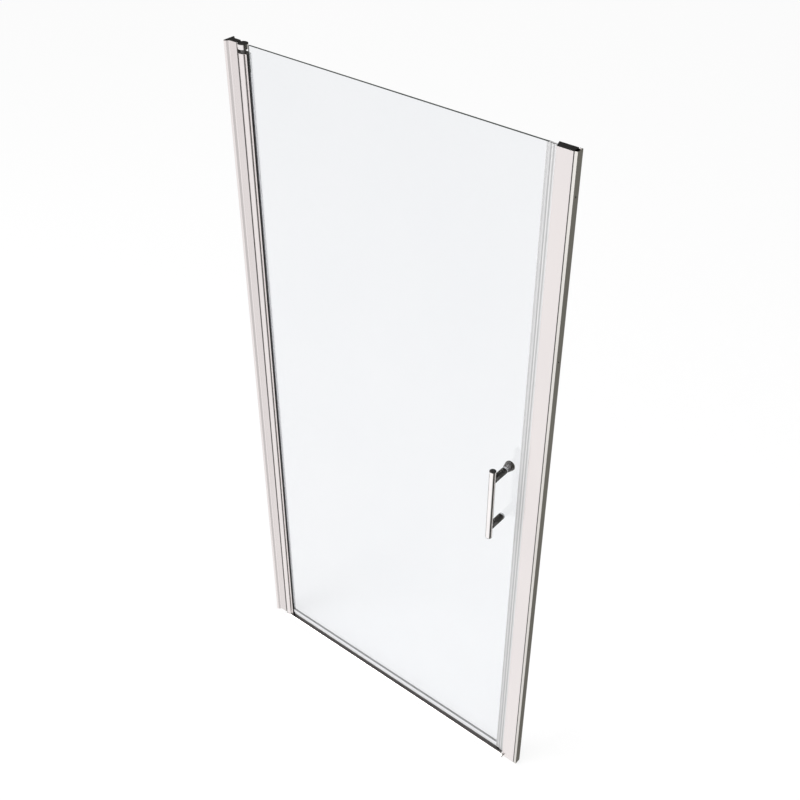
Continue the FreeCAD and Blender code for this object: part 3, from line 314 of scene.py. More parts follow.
def finished(name, mesh, bevel):
    """Turn a bmesh into an object with smooth rounds and softly broken edges."""
    bmesh.ops.recalc_face_normals(mesh, faces=mesh.faces)
    bmesh.ops.dissolve_limit(mesh, angle_limit=FLAT_ANGLE, verts=mesh.verts,
                             edges=mesh.edges, delimit={"NORMAL"})
    data = bpy.data.meshes.new(name)
    mesh.to_mesh(data)
    mesh.free()
    data.shade_smooth()
    data.set_sharp_from_angle(angle=EDGE_ANGLE)
    made = bpy.data.objects.new(name, data)
    bpy.context.scene.collection.objects.link(made)
    broken = made.modifiers.new("broken_edges", "BEVEL")
    broken.width = bevel
    broken.segments = 2
    broken.limit_method = "ANGLE"
    broken.angle_limit = EDGE_ANGLE
    broken.harden_normals = True
    return made


def dressed(name, bevel=PLAIN_EDGE):
    """A node's own form as one closed mesh, its edges softly broken."""
    source = frame["nodes"][name]
    mesh = bmesh.new()
    mesh.from_mesh(source.data)
    mesh.transform(source.matrix_world)
    bmesh.ops.remove_doubles(mesh, verts=mesh.verts, dist=WELD)
    return finished(name + "_piece", mesh, bevel)


def seat(made, material, body, slot, *nodes):
    """Finish a piece, stand it in for its nodes and let it ride on its body."""
    made.data.materials.append(material)
    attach(made, body)
    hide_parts(*nodes)


def second_finish(made, material, chosen):
    """Give the faces picked by their normal and their middle another finish."""
    made.data.materials.append(material)
    for face in made.data.polygons:
        if chosen(face.normal, face.center):
            face.material_index = len(made.data.materials) - 1


# Matt extruded metal with die lines along its length, and the greyer skin straight from the
# die that is left on the sides that lie on the wall.
satin = finish("satin_aluminium", (0.76, 0.745, 0.72), 0.6, 1.0,
               ((0.74, 0.725, 0.70), (0.78, 0.765, 0.74)), (0.54, 0.66), (14, 900),
               UPRIGHT, DRIFTING, 4, DIE_LINES)
skin = finish("mill_skin", (0.44, 0.43, 0.39), 0.6, 1.0,
              ((0.41, 0.40, 0.36), (0.47, 0.46, 0.42)), (0.54, 0.68), (14, 900),
              UPRIGHT, DRIFTING, 4)
hinge_channel = dressed("hinge_wall_channel")
seat(hinge_channel, satin, "frame", "mill_aluminium", "hinge_wall_channel")
second_finish(hinge_channel, skin, lambda normal, middle: normal.x < -FACING)


# ---- hinge jamb -----------------------------------------------------------------------------
# Bright-polished aluminium extrusion, cut to length. It flares where it meets the wall, narrows
# to a neck and ends in a round nose beside the turning leaf. It is open at the wall.

PIVOT = Vector(frame["joints"][0]["pos_m"]).x
HINGE_WALL = cad_box[0].x


def arc(x, y, radius, start, end, steps):
    """Points on an arc about x, y, from start to end degrees."""
    turns = [math.radians(start + (end - start) * step / steps) for step in range(steps + 1)]
    return [(x + radius * math.cos(turn), y + radius * math.sin(turn)) for turn in turns]


LAID = {"X": ((0, 0, 1), (1, 0, 0), (0, 1, 0)), "Y": ((1, 0, 0), (0, 0, 1), (0, 1, 0)),
        "Z": ((1, 0, 0), (0, 1, 0), (0, 0, 1))}
DRAWN_EDGE = 0.18 * MM
DRAW_LINES = 0.003 * MM


def band(mesh, low, high):
    """Faces between two rings of corners."""
    for number in range(len(low)):
        after = (number + 1) % len(low)
        mesh.faces.new((low[number], low[after], high[after], high[number]))


def extrusion(name, loops, low, high, axis="Z", bevel=DRAWN_EDGE):
    """Closed section, outer loop first and any voids after it, drawn out along an axis."""
    mesh = bmesh.new()
    rows = []
    for end in (low, high):
        rows.append([[mesh.verts.new((a, b, end)) for a, b in loop] for loop in loops])
    for bottom, top in zip(*rows):
        band(mesh, bottom, top)
    flat = [[Vector((a, b, 0)) for a, b in loop] for loop in loops]
    for row in rows:
        corners = [corner for loop in row for corner in loop]
        for triangle in geometry.tessellate_polygon(flat):
            mesh.faces.new([corners[index] for index in triangle])
    bmesh.ops.transform(mesh, matrix=Matrix(LAID[axis]).to_4x4(), verts=mesh.verts)
    return finished(name, mesh, bevel)


def polished_aluminium(name, along, pale=0.85):
    """Bright-polished extrusion: a soft mirror with faint draw lines along its length."""
    return finish(name, (pale, pale - 0.04, pale - 0.04), 0.2, 1.0,
                  ((pale - 0.015, pale - 0.055, pale - 0.055),
                   (pale + 0.015, pale - 0.025, pale - 0.03)), (0.15, 0.25), (6, 700),
                  along, (1, 1, 0.4), depth=DRAW_LINES)


bright_upright = polished_aluminium("polished_aluminium_upright", UPRIGHT)
# Painted shade: metal deep in a slit, in a joint or on a sawn end gets a dark colour that stands
# in for the shade there, as little light reaches it.
painted_shade_metal = finish("aluminium_painted_shade", (0.2, 0.195, 0.19), 0.35, 1.0,
              ((0.17, 0.165, 0.16), (0.23, 0.225, 0.22)), (0.3, 0.42), (40, 700))

jamb_low, jamb_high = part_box("hinge_jamb")
JAMB_WALL = 1.8 * MM
FLARE_REACH = 15 * MM
FLANK = math.radians(48)
NECK_FRONT = -6 * MM
NECK_BACK = 10.5 * MM
NOSE_WALL = 4 * MM
NOSE_RADIUS = 4.5 * MM
NOSE_STEPS = 8
NECK_SHARE = 0.75
TURNED = 0.5
SEAL_HALF = 1.6 * MM
SEAL_DEPTH = 2.4 * MM


def flare(front, neck, inset, steps=14):
    """S-shaped curve from the wall to the neck: two equal arcs and a straight flank."""
    drop = abs(neck - front)
    way = 1 if neck > front else -1
    radius = (FLARE_REACH * math.sin(FLANK) - drop * math.cos(FLANK)) / (2 - 2 * math.cos(FLANK))
    bend = math.degrees(FLANK)
    first = arc(HINGE_WALL, 0, radius - inset, -90, -90 + bend, steps)
    second = arc(HINGE_WALL + FLARE_REACH, 0, radius + inset, 90 + bend, 90, steps)
    leaving = [(x, front + way * (y + radius)) for x, y in first]
    arriving = [(x, neck + way * (y - radius)) for x, y in second]
    return leaving + arriving


def jamb_path(inset, nose):
    """The jamb's outline from the wall's front corner round the nose to the back corner."""
    corner = NOSE_RADIUS - inset
    front = NECK_FRONT + inset
    back = NECK_BACK - inset
    round_front = arc(nose - corner, front + corner, corner, -90, 0, NOSE_STEPS)
    round_back = arc(nose - corner, back - corner, corner, 0, 90, NOSE_STEPS)
    return (flare(jamb_low.y, NECK_FRONT, inset) + round_front + round_back
            + flare(jamb_high.y, NECK_BACK, inset)[::-1])


outer = jamb_path(0, jamb_high.x)
middle = len(outer) // 2
groove = [(jamb_high.x, -SEAL_HALF), (jamb_high.x - SEAL_DEPTH, -SEAL_HALF),
          (jamb_high.x - SEAL_DEPTH, SEAL_HALF), (jamb_high.x, SEAL_HALF)]
outer = outer[:middle] + groove + outer[middle:]
inner = jamb_path(JAMB_WALL, jamb_high.x - NOSE_WALL)
jamb = extrusion("jamb_extrusion", [outer + inner[::-1]], jamb_low.z, jamb_high.z)
seat(jamb, bright_upright, "frame", "polished_aluminium", "hinge_jamb")
# Painted shade: the end of the nose, in the slit beside the barrel, gets the dark colour.
second_finish(jamb, painted_shade_metal, lambda normal, middle: normal.x > TURNED
              and middle.x > jamb_high.x - NOSE_RADIUS)
# Painted shade: the front of the neck gets a darker copy of the polished finish, standing in for
# the shade in the hollow behind the flare.
neck_painted_shade = polished_aluminium("polished_aluminium_neck_painted_shade", UPRIGHT, 0.75)
second_finish(jamb, neck_painted_shade, lambda normal, middle: normal.y < 0 and normal.x < TURNED
              and middle.x > HINGE_WALL + FLARE_REACH * NECK_SHARE)


# ---- jamb cap -------------------------------------------------------------------------------
# Flat cap moulded in matt black plastic. It snaps on the open top of the jamb and follows its
# outline, with the upper edge rounded all round.

CAP_EDGE = 0.4 * MM
MOULD_GRAIN = 0.03 * MM
black = finish("moulded_black", (0.018, 0.018, 0.018), 0.5, 0.0,
               ((0.014, 0.014, 0.014), (0.023, 0.022, 0.021)), (0.5, 0.66), (60, 2500),
               depth=MOULD_GRAIN, Specular_IOR_Level=0.3)
lid_low, lid_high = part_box("jamb_end_cap")
jamb_cap = extrusion("jamb_cap", [jamb_path(0, jamb_high.x)], lid_low.z, lid_high.z,
                     bevel=CAP_EDGE)
seat(jamb_cap, black, "frame", "black_plastic", "jamb_end_cap")


# ---- jamb gasket ----------------------------------------------------------------------------
# Extruded black rubber lip, cut to length and pushed into the groove of the nose. It closes the
# slit beside the turning barrel.

rubber = finish("black_rubber", (0.02, 0.02, 0.02), 0.7, 0.0,
                ((0.016, 0.016, 0.016), (0.03, 0.029, 0.028)), (0.62, 0.8), (200, 1200))
seat(dressed("jamb_seal"), rubber, "frame", "black_gasket", "jamb_seal")


# ---- screws ---------------------------------------------------------------------------------
# Zinc-plated cheese-head screws with a hexagon socket, driven from inside the shower: a pair
# in the jamb, a pair in the strike and one for each pivot head.

FINE_EDGE = 0.05 * MM
TURN_STEPS = 60


def turned_mesh(rings, place, axis="Z", closed=False):
    """Rings (radius, height) about an axis, skinned in order; "hex" makes a ring six-sided."""
    mesh = bmesh.new()
    rows = []
    for radius, height, *shape in rings:
        row = []
        for step in range(TURN_STEPS):
            turn = 2 * math.pi * step / TURN_STEPS
            reach = radius
            if shape:
                reach = radius / math.cos(turn % (math.pi / 3) - math.pi / 6)
            row.append(mesh.verts.new((reach * math.cos(turn), reach * math.sin(turn), height)))
        rows.append(row)
    pairs = list(zip(rows, rows[1:]))
    if closed:
        pairs.append((rows[-1], rows[0]))
    else:
        mesh.faces.new(rows[0])
        mesh.faces.new(rows[-1])
    for low, high in pairs:
        band(mesh, low, high)
    bmesh.ops.transform(mesh, matrix=Matrix(LAID[axis]).to_4x4(), verts=mesh.verts)
    bmesh.ops.translate(mesh, vec=Vector(place), verts=mesh.verts)
    return mesh


steel = finish("plated_steel", (0.62, 0.62, 0.6), 0.25, 1.0,
               ((0.55, 0.55, 0.53), (0.68, 0.68, 0.66)), (0.2, 0.34), (300, 900))
SCREW_HEAD = 3.25 * MM
SCREW_SHANK = 1.75 * MM
HEAD_HEIGHT = 2 * MM
HEAD_ROUND = 0.4 * MM
SOCKET = 1.25 * MM
SOCKET_DEPTH = 1.2 * MM


def screw_pair(name):
    """Two screws, repeated up the profile by a node tree and made one plain mesh."""
    low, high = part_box(name)
    face = high.y - HEAD_HEIGHT
    rings = [(SCREW_SHANK, low.y), (SCREW_SHANK, face), (SCREW_HEAD, face),
             (SCREW_HEAD, high.y - HEAD_ROUND), (SCREW_HEAD - HEAD_ROUND, high.y),
             (SOCKET, high.y, "hex"), (SOCKET, high.y - SOCKET_DEPTH, "hex")]
    centre = (low.x + high.x) / 2
    first = finished(name + "_one", turned_mesh(rings, (centre, 0, low.z + SCREW_HEAD), "Y"),
                     FINE_EDGE)
    tree = bpy.data.node_groups.new(name + "_row", "GeometryNodeTree")
    tree.interface.new_socket("Screw", in_out="INPUT", socket_type="NodeSocketObject")
    tree.interface.new_socket("Spacing", in_out="INPUT", socket_type="NodeSocketFloat")
    tree.interface.new_socket("Metal", in_out="INPUT", socket_type="NodeSocketMaterial")
    tree.interface.new_socket("Row", in_out="OUTPUT", socket_type="NodeSocketGeometry")
    given = node(tree, "NodeGroupInput")
    result = node(tree, "NodeGroupOutput")
    rise = node(tree, "ShaderNodeCombineXYZ")
    line = node(tree, "GeometryNodeMeshLine")
    line.inputs["Count"].default_value = 2
    one = node(tree, "GeometryNodeObjectInfo")
    spread = node(tree, "GeometryNodeInstanceOnPoints")
    real = node(tree, "GeometryNodeRealizeInstances")
    plated = node(tree, "GeometryNodeSetMaterial")
    wire(tree, given.outputs["Spacing"], rise.inputs["Z"])
    wire(tree, rise.outputs[0], line.inputs["Offset"])
    wire(tree, given.outputs["Screw"], one.inputs["Object"])
    wire(tree, line.outputs[0], spread.inputs["Points"])
    wire(tree, one.outputs["Geometry"], spread.inputs["Instance"])
    wire(tree, spread.outputs[0], real.inputs[0])
    wire(tree, real.outputs[0], plated.inputs["Geometry"])
    wire(tree, given.outputs["Metal"], plated.inputs["Material"])
    wire(tree, plated.outputs[0], result.inputs[0])
    grower = bpy.data.objects.new(name + "_grower", bpy.data.meshes.new(name + "_grower"))
    bpy.context.scene.collection.objects.link(grower)
    row = grower.modifiers.new("row", "NODES")
    row.node_group = tree
    sockets = {item.name: item.identifier for item in tree.interface.items_tree}
    row[sockets["Screw"]] = first
    row[sockets["Spacing"]] = high.z - low.z - 2 * SCREW_HEAD
    row[sockets["Metal"]] = steel
    grower.update_tag()
    grown = grower.evaluated_get(bpy.context.evaluated_depsgraph_get())
    made = bpy.data.objects.new(name + "_pieces", bpy.data.meshes.new_from_object(grown))
    bpy.context.scene.collection.objects.link(made)
    bpy.data.objects.remove(grower)
    bpy.data.objects.remove(first)
    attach(made, "frame")
    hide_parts(name)


for name in ("jamb_fixing_screws", "pivot_head_screws", "strike_fixing_screws"):
    screw_pair(name)


# ---- pivot heads, cover disc and pins -------------------------------------------------------
# Chromed round heads beside the jamb's ends, each with a tongue screwed inside the jamb. Hard
# steel pins stand in them. A black disc covers the upper one, a thin washer the lower one.

def chrome(name, pale):
    """Mirror chrome with faint polishing marks."""
    return finish(name, (pale, pale - 0.02, pale - 0.02), 0.08, 1.0,
                  ((pale - 0.02, pale - 0.04, pale - 0.04), (pale + 0.02, pale, pale)),
                  (0.06, 0.11), (40, 300))


mirror = chrome("chrome_plate", 0.84)
slippery = finish("dark_nylon", (0.06, 0.058, 0.055), 0.35, 0.0,
                  ((0.05, 0.048, 0.046), (0.075, 0.072, 0.069)), (0.3, 0.42), (80, 1500))
HEAD_EDGE = 0.25 * MM
FULL_EDGE = 0.3 * MM
SOFT_EDGE = 0.2 * MM
for name in ("top_pivot_head", "bottom_pivot_head"):
    seat(dressed(name, HEAD_EDGE), mirror, "frame", "polished_aluminium", name)
for name in ("top_pivot_pin", "bottom_pivot_pin"):
    seat(dressed(name, FULL_EDGE), steel, "frame", "steel", name)
seat(dressed("thrust_washer", FINE_EDGE), slippery, "frame", "nylon", "thrust_washer")

disc_low, disc_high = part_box("top_pivot_cap")
DISC = (disc_high.x - disc_low.x) / 2
DISC_ROUND = 0.6 * MM
disc_rings = [(DISC, disc_low.z), (DISC, disc_high.z - DISC_ROUND),
              (DISC - DISC_ROUND, disc_high.z)]
disc = finished("top_cover_disc", turned_mesh(disc_rings, (PIVOT, 0, 0)), SOFT_EDGE)
seat(disc, black, "frame", "black_plastic", "top_pivot_cap")


# ---- threshold ------------------------------------------------------------------------------
# Low hollow bar glued to the tray, flat on top with a sloping front, coped round the bottom
# head and cut back where it meets the strike. A grey moulding closes its nose.

LEVEL = (0.004, 1, 1)
UPWARD = 0.99
NEAR = 0.1 * MM
bright_level = polished_aluminium("polished_aluminium_level", LEVEL)
threshold = dressed("threshold_bar", FULL_EDGE)
seat(threshold, bright_level, "frame", "polished_aluminium", "threshold_bar")
# The flat top gets a darker colour, a painted shade, and a rougher surface.
bar_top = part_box("threshold_bar")[1].z
flat_top_painted_shade = finish("threshold_top_painted_shade", (0.15, 0.145, 0.14), 0.3, 1.0,
                   ((0.13, 0.125, 0.12), (0.17, 0.165, 0.16)), (0.24, 0.38), (30, 700),
                   LEVEL, LEVEL)
second_finish(threshold, flat_top_painted_shade,
              lambda normal, middle: normal.z > UPWARD and middle.z > bar_top - NEAR)
grey = finish("grey_plastic", (0.30, 0.29, 0.27), 0.45, 0.0,
              ((0.27, 0.26, 0.245), (0.33, 0.32, 0.30)), (0.38, 0.55), (90, 1800))
seat(dressed("threshold_end_cap", FULL_EDGE), grey, "frame", "grey_plastic",
     "threshold_end_cap")


# ---- strike ---------------------------------------------------------------------------------
# Polished hollow profile with a slanted closing side, a groove for the fixed seal and a tail
# that slides in a satin wall channel. The fine joint between the two runs its whole height.

strike_low, strike_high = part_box("strike_profile")
STRIKE_WALL = 1.5 * MM
STRIKE_SLANT = 6.5 * MM
STRIKE_WIDTH = 39 * MM
STRIKE_TAIL = 7.5 * MM
TAIL_INSET = 1.8 * MM
CLOSING_ROUND = 1 * MM
CORNER_SHARE = 0.7
CORNER_DROP = 0.3
MOUTH_HALF = 1.5 * MM
GROOVE_HALF = 2.8 * MM
GROOVE_DEPTH = 2.4 * MM
SEAL_MIDDLE = 2.25 * MM
cap_low, cap_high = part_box("strike_end_cap")
strike_edge = cap_low.x + STRIKE_SLANT
strike_end = strike_edge + STRIKE_WIDTH


def slant(y):
    """X of the slanted closing side at y."""
    share = (y - strike_low.y) / (strike_high.y - strike_low.y)
    return strike_edge - STRIKE_SLANT * share


def strike_section():
    """Section of the strike profile, round its outside and back through its hollow."""
    front = strike_low.y
    back = strike_high.y
    lips = slant(SEAL_MIDDLE - MOUTH_HALF) + STRIKE_WALL
    floor = lips + GROOVE_DEPTH
    block = floor + STRIKE_WALL
    inner_end = strike_end - STRIKE_WALL
    tail_end = strike_end + STRIKE_TAIL
    corner = CLOSING_ROUND * CORNER_SHARE
    return [
        (tail_end, front + TAIL_INSET), (strike_end, front + TAIL_INSET), (strike_end, front),
        (strike_edge + corner, front), (strike_edge, front + corner * CORNER_DROP),
        (slant(front + corner), front + corner),
        (slant(SEAL_MIDDLE - MOUTH_HALF), SEAL_MIDDLE - MOUTH_HALF),
        (lips, SEAL_MIDDLE - MOUTH_HALF), (lips, SEAL_MIDDLE - GROOVE_HALF),
        (floor, SEAL_MIDDLE - GROOVE_HALF), (floor, SEAL_MIDDLE + GROOVE_HALF),
        (lips, SEAL_MIDDLE + GROOVE_HALF), (lips, SEAL_MIDDLE + MOUTH_HALF),
        (slant(SEAL_MIDDLE + MOUTH_HALF), SEAL_MIDDLE + MOUTH_HALF),
        (slant(back - corner), back - corner), (strike_low.x + corner, back),
        (strike_end, back), (strike_end, back - TAIL_INSET), (tail_end, back - TAIL_INSET),
        (tail_end, back - TAIL_INSET - STRIKE_WALL), (inner_end, back - TAIL_INSET - STRIKE_WALL),
        (inner_end, back - STRIKE_WALL), (strike_low.x + STRIKE_WALL, back - STRIKE_WALL),
        (strike_low.x + STRIKE_WALL, SEAL_MIDDLE + GROOVE_HALF + STRIKE_WALL),
        (block, SEAL_MIDDLE + GROOVE_HALF + STRIKE_WALL),
        (block, SEAL_MIDDLE - GROOVE_HALF - STRIKE_WALL),
        (strike_edge + STRIKE_WALL, SEAL_MIDDLE - GROOVE_HALF - STRIKE_WALL),
        (strike_edge + STRIKE_WALL, front + STRIKE_WALL), (inner_end, front + STRIKE_WALL),
        (inner_end, front + TAIL_INSET + STRIKE_WALL),
        (tail_end, front + TAIL_INSET + STRIKE_WALL),
    ]


strike = extrusion("strike_extrusion", [strike_section()], strike_low.z, strike_high.z)
seat(strike, bright_upright, "frame", "polished_aluminium", "strike_profile")
# Painted shade: the tail's faces in the joint and inside the wall channel get the dark colour, so
# that the joint shows dark.
second_finish(strike, painted_shade_metal, lambda normal, middle: middle.x > strike_end - NEAR
              and (normal.z > TURNED or normal.x > TURNED or normal.y < -TURNED))
strike_channel = dressed("strike_wall_channel")
seat(strike_channel, satin, "frame", "mill_aluminium", "strike_wall_channel")
# Painted shade: the channel's top faces, where its hollow lies open, get the dark colour.
second_finish(strike_channel, painted_shade_metal, lambda normal, middle: normal.z > TURNED)
second_finish(strike_channel, skin, lambda normal, middle: normal.x > FACING)
strike_cap_path = [(strike_edge, cap_low.y), (cap_high.x, cap_low.y), (cap_high.x, cap_high.y),
                   (cap_low.x, cap_high.y)]
strike_cap = extrusion("strike_cap", [strike_cap_path], cap_low.z, cap_high.z, bevel=CAP_EDGE)
seat(strike_cap, black, "frame", "black_plastic", "strike_end_cap")


# ---- fixed and closing seals ----------------------------------------------------------------
# Milky clear soft strips with a dark magnet inside: one snapped into the strike's groove, one
# pushed on the glass's closing edge. Fine ribs run down both where the die drew them.

THIN_EDGE = 0.1 * MM
RIB_SCALE = 41
RIB_DEPTH = 0.1 * MM


def ribbed_strip():
    """The same soft strip with the fine upright ribs that the die left on it, bumped in, and with
    painted shade darkening the hollows between them.
    """
    made, tree, shader = surface("ribbed_strip", (0.85, 0.855, 0.87), 0.3)
    place = node(tree, "ShaderNodeTexCoord")
    ribs = node(tree, "ShaderNodeTexWave", bands_direction="X", Scale=RIB_SCALE)
    wire(tree, place.outputs["Object"], ribs.inputs["Vector"])
    # Painted shade: the colour darkens in the hollows between the ribs.
    tone(tree, ribs.outputs["Fac"], (0.64, 0.64, 0.645), (0.92, 0.92, 0.925),
         shader.inputs["Base Color"])
    vary(tree, noise_on(tree, 900), 0.24, 0.38, shader.inputs["Roughness"])
    relief(tree, ribs.outputs["Fac"], RIB_DEPTH, shader)
    shader.inputs["Alpha"].default_value = 0.6
    return made


soft = finish("clear_strip", (0.85, 0.855, 0.87), 0.3, 0.0,
              ((0.82, 0.825, 0.84), (0.88, 0.885, 0.90)), (0.24, 0.38), (60, 900), Alpha=0.32)
ribbed = ribbed_strip()
dark_magnet = finish("flexible_magnet", (0.09, 0.085, 0.08), 0.6, 0.0,
                     ((0.075, 0.07, 0.065), (0.11, 0.105, 0.10)), (0.5, 0.7), (150, 900))
seat(dressed("fixed_magnet_seal", SOFT_EDGE), ribbed, "frame", "clear_seal", "fixed_magnet_seal")
seat(dressed("door_magnet_seal", SOFT_EDGE), ribbed, "door", "clear_seal", "door_magnet_seal")
seat(dressed("fixed_magnet_strip", THIN_EDGE), dark_magnet, "frame", "magnet",
     "fixed_magnet_strip")
seat(dressed("door_magnet_strip", THIN_EDGE), dark_magnet, "door", "magnet", "door_magnet_strip")


# ---- hinge leaf -----------------------------------------------------------------------------
# One full-height extrusion: the round barrel that turns about the pins and, open to the right,
# the channel that grips the glass. A fine valley divides the barrel from the flat front strip.

leaf_low, leaf_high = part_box("hinge_leaf")
BARREL = 12.8 * MM
CAVITY = 10.8 * MM
JAW_FRONT = -4.5 * MM
JAW_BACK = 9.1 * MM
LEAF_FRONT = -7 * MM
LEAF_BACK = 11.6 * MM
LEAF_REACH = leaf_high.x - PIVOT
STRIP_WIDTH = 4.4 * MM
VALLEY_WIDTH = 3.7 * MM
VALLEY_SLOPE = 1.7 * MM
VALLEY_DEPTH = 1 * MM
BARREL_STEPS = 72
SLIT_SIDE = 0.4


def leaf_section():
    """Section of the leaf about the pivot line."""
    inside = arc(0, 0, CAVITY, math.degrees(math.asin(JAW_FRONT / CAVITY)),
                 math.degrees(math.asin(JAW_BACK / CAVITY)) - 360, BARREL_STEPS)
    point = LEAF_REACH - STRIP_WIDTH - VALLEY_WIDTH
    outside = arc(0, 0, BARREL, math.degrees(math.asin(LEAF_BACK / BARREL)),
                  360 - math.degrees(math.acos(point / BARREL)), BARREL_STEPS)
    strip = LEAF_REACH - STRIP_WIDTH
    return ([(LEAF_REACH, JAW_FRONT)] + inside + [(LEAF_REACH, JAW_BACK), (LEAF_REACH, LEAF_BACK)]
            + outside + [(strip - VALLEY_SLOPE, LEAF_FRONT + VALLEY_DEPTH), (strip, LEAF_FRONT),
                         (LEAF_REACH, LEAF_FRONT)])


leaf_loop = [(PIVOT + x, y) for x, y in leaf_section()]
leaf = extrusion("leaf_extrusion", [leaf_loop], leaf_low.z, leaf_high.z)
seat(leaf, bright_upright, "door", "polished_aluminium", "hinge_leaf")
# Painted shade: the side of the barrel that faces the jamb's slit gets the dark colour.
second_finish(leaf, painted_shade_metal, lambda normal, middle: normal.x < -SLIT_SIDE and middle.x < PIVOT
              and middle.y < 0)
# Painted shade: the narrow edge of the front jaw, which lies in the shade beside the pane, gets a
# dark colour.
jaw_edge_painted_shade = finish("jaw_edge_painted_shade", (0.09, 0.088, 0.085), 0.35, 1.0,
                  ((0.075, 0.073, 0.07), (0.105, 0.103, 0.10)), (0.3, 0.42), (40, 700))
second_finish(leaf, jaw_edge_painted_shade, lambda normal, middle: normal.x > FACING and middle.y < 0)

seat(dressed("front_glazing_gasket", SOFT_EDGE), rubber, "door", "black_gasket",
     "front_glazing_gasket")
# Painted light: behind the pane the gasket and the jaw's end get a pale colour, standing in for
# the light that comes through the glass.
pale = finish("back_painted_light", (0.88, 0.88, 0.88), 0.6, 0.0,
              ((0.85, 0.85, 0.85), (0.91, 0.91, 0.91)), (0.55, 0.7), (200, 1200))
seat(dressed("back_glazing_gasket", SOFT_EDGE), pale, "door", "black_gasket",
     "back_glazing_gasket")
# Painted light: the jaw's back end gets the same pale colour.
second_finish(leaf, pale, lambda normal, middle: normal.x > FACING and middle.y > JAW_BACK)
for name in ("top_bush", "bottom_bush"):
    seat(dressed(name, SOFT_EDGE), slippery, "door", "nylon", name)


# ---- glass ----------------------------------------------------------------------------------
# One toughened 6 mm pane, edges ground and polished, its hinge-side corners notched round the
# bushes, with two drilled holes for the handle. Its faces are clear and its edges grey-green.

def clear_glass():
    """Clear glass that lets the lamps through, so that the floor behind it stays lit."""
    made = finish("clear_glass", (0.90, 0.912, 0.93), 0.0, 0.0,
                  ((0.893, 0.906, 0.925), (0.907, 0.918, 0.935)), (0.0, 0.01), (3, 30),
                  Transmission_Weight=1, IOR=1.45)
    tree = made.node_tree
    path = node(tree, "ShaderNodeLightPath")
    open_way = node(tree, "ShaderNodeBsdfTransparent", Color=(0.95, 0.96, 0.965, 1))
    mixed = pick(tree, path.outputs["Is Shadow Ray"],
                 tree.nodes["Principled BSDF"].outputs[0], open_way.outputs[0])
    wire(tree, mixed, tree.nodes["Material Output"].inputs[0])
    return made


glass_low, glass_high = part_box("glass_panel")
NOTCH_X = PIVOT + 17.2 * MM
NOTCH_END = 45 * MM
HOLE = 6 * MM
HOLE_STEPS = 48
HANDLE_X = (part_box("handle_bar")[0].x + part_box("handle_bar")[1].x) / 2
notch_low = leaf_low.z + NOTCH_END
notch_high = leaf_high.z - NOTCH_END
post_heights = []
for name in ("lower_handle_post", "upper_handle_post"):
    low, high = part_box(name)
    post_heights.append((low.z + high.z) / 2)
pane_loop = [(NOTCH_X, glass_low.z), (glass_high.x, glass_low.z), (glass_high.x, glass_high.z),
             (NOTCH_X, glass_high.z), (NOTCH_X, notch_high), (glass_low.x, notch_high),
             (glass_low.x, notch_low), (NOTCH_X, notch_low)]
holes = [arc(HANDLE_X, height, HOLE, 360, 0, HOLE_STEPS)[:-1] for height in post_heights]
pane = extrusion("glass_pane", [pane_loop] + holes, glass_low.y, glass_high.y, "Y",
                 FULL_EDGE)
seat(pane, clear_glass(), "door", "clear_glass", "glass_panel")
# The ground edges show the pane's depth as grey-green, but for the lower one in the sweep.
edge = finish("glass_edge", (0.07, 0.08, 0.077), 0.25, 0.0,
              ((0.055, 0.065, 0.062), (0.09, 0.10, 0.097)), (0.18, 0.35), (90, 500))
second_finish(pane, edge, lambda normal, middle: Vector((normal.x, normal.z)).length > FACING
              and middle.z > glass_low.z + MM
              and (middle.z > glass_high.z - MM or normal.x < -FACING
                   or middle.x > glass_high.x - MM))


# ---- sweep ----------------------------------------------------------------------------------
# Extruded milky clear strip, cut to length and clipped under the glass. A leg runs up each face
# of the pane and a lip reaches down to the threshold.

sweep_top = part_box("sweep_seal")[1].z
SHADE_BAND_DEPTH = 2.6 * MM
SHADE_BAND_FADE = 0.5 * MM


def sweep_strip():
    """Milky strip with painted shade: a grey band along its upper rim."""
    made, tree, shader = surface("sweep_strip", (0.9, 0.9, 0.915), 0.35)
    place = node(tree, "ShaderNodeTexCoord")
    height = node(tree, "ShaderNodeSeparateXYZ")
    # Painted shade: the colour turns grey in a band just below the upper rim.
    rim_shade = node(tree, "ShaderNodeMapRange")
    rim_shade.inputs["From Min"].default_value = sweep_top - SHADE_BAND_DEPTH - SHADE_BAND_FADE
    rim_shade.inputs["From Max"].default_value = sweep_top - SHADE_BAND_DEPTH + SHADE_BAND_FADE
    wire(tree, place.outputs["Object"], height.inputs[0])
    wire(tree, height.outputs["Z"], rim_shade.inputs["Value"])
    tone(tree, rim_shade.outputs[0], (0.9, 0.9, 0.915), (0.34, 0.34, 0.345),
         shader.inputs["Base Color"])
    vary(tree, noise_on(tree, 900), 0.28, 0.42, shader.inputs["Roughness"])
    shader.inputs["Alpha"].default_value = 0.88
    return made


seat(dressed("sweep_seal", SOFT_EDGE), sweep_strip(), "door", "clear_seal", "sweep_seal")


# ---- handle ---------------------------------------------------------------------------------
# Chromed tube with two dark plugs, brazed to two posts. A stud through the glass draws the
# upper post against a conical knob, a flat-headed screw holds the lower one from behind.

bar_low, bar_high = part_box("handle_bar")
BAR = (bar_high.x - bar_low.x) / 2
BAR_WALL = 1.5 * MM
BAR_Y = (bar_low.y + bar_high.y) / 2
BAR_EASE = 0.25 * MM
bar_rings = [(BAR - BAR_WALL, bar_low.z), (BAR - BAR_EASE, bar_low.z),
             (BAR, bar_low.z + BAR_EASE), (BAR, bar_high.z - BAR_EASE),
             (BAR - BAR_EASE, bar_high.z), (BAR - BAR_WALL, bar_high.z)]
bar = finished("handle_tube", turned_mesh(bar_rings, (HANDLE_X, BAR_Y, 0), closed=True),
               FINE_EDGE)
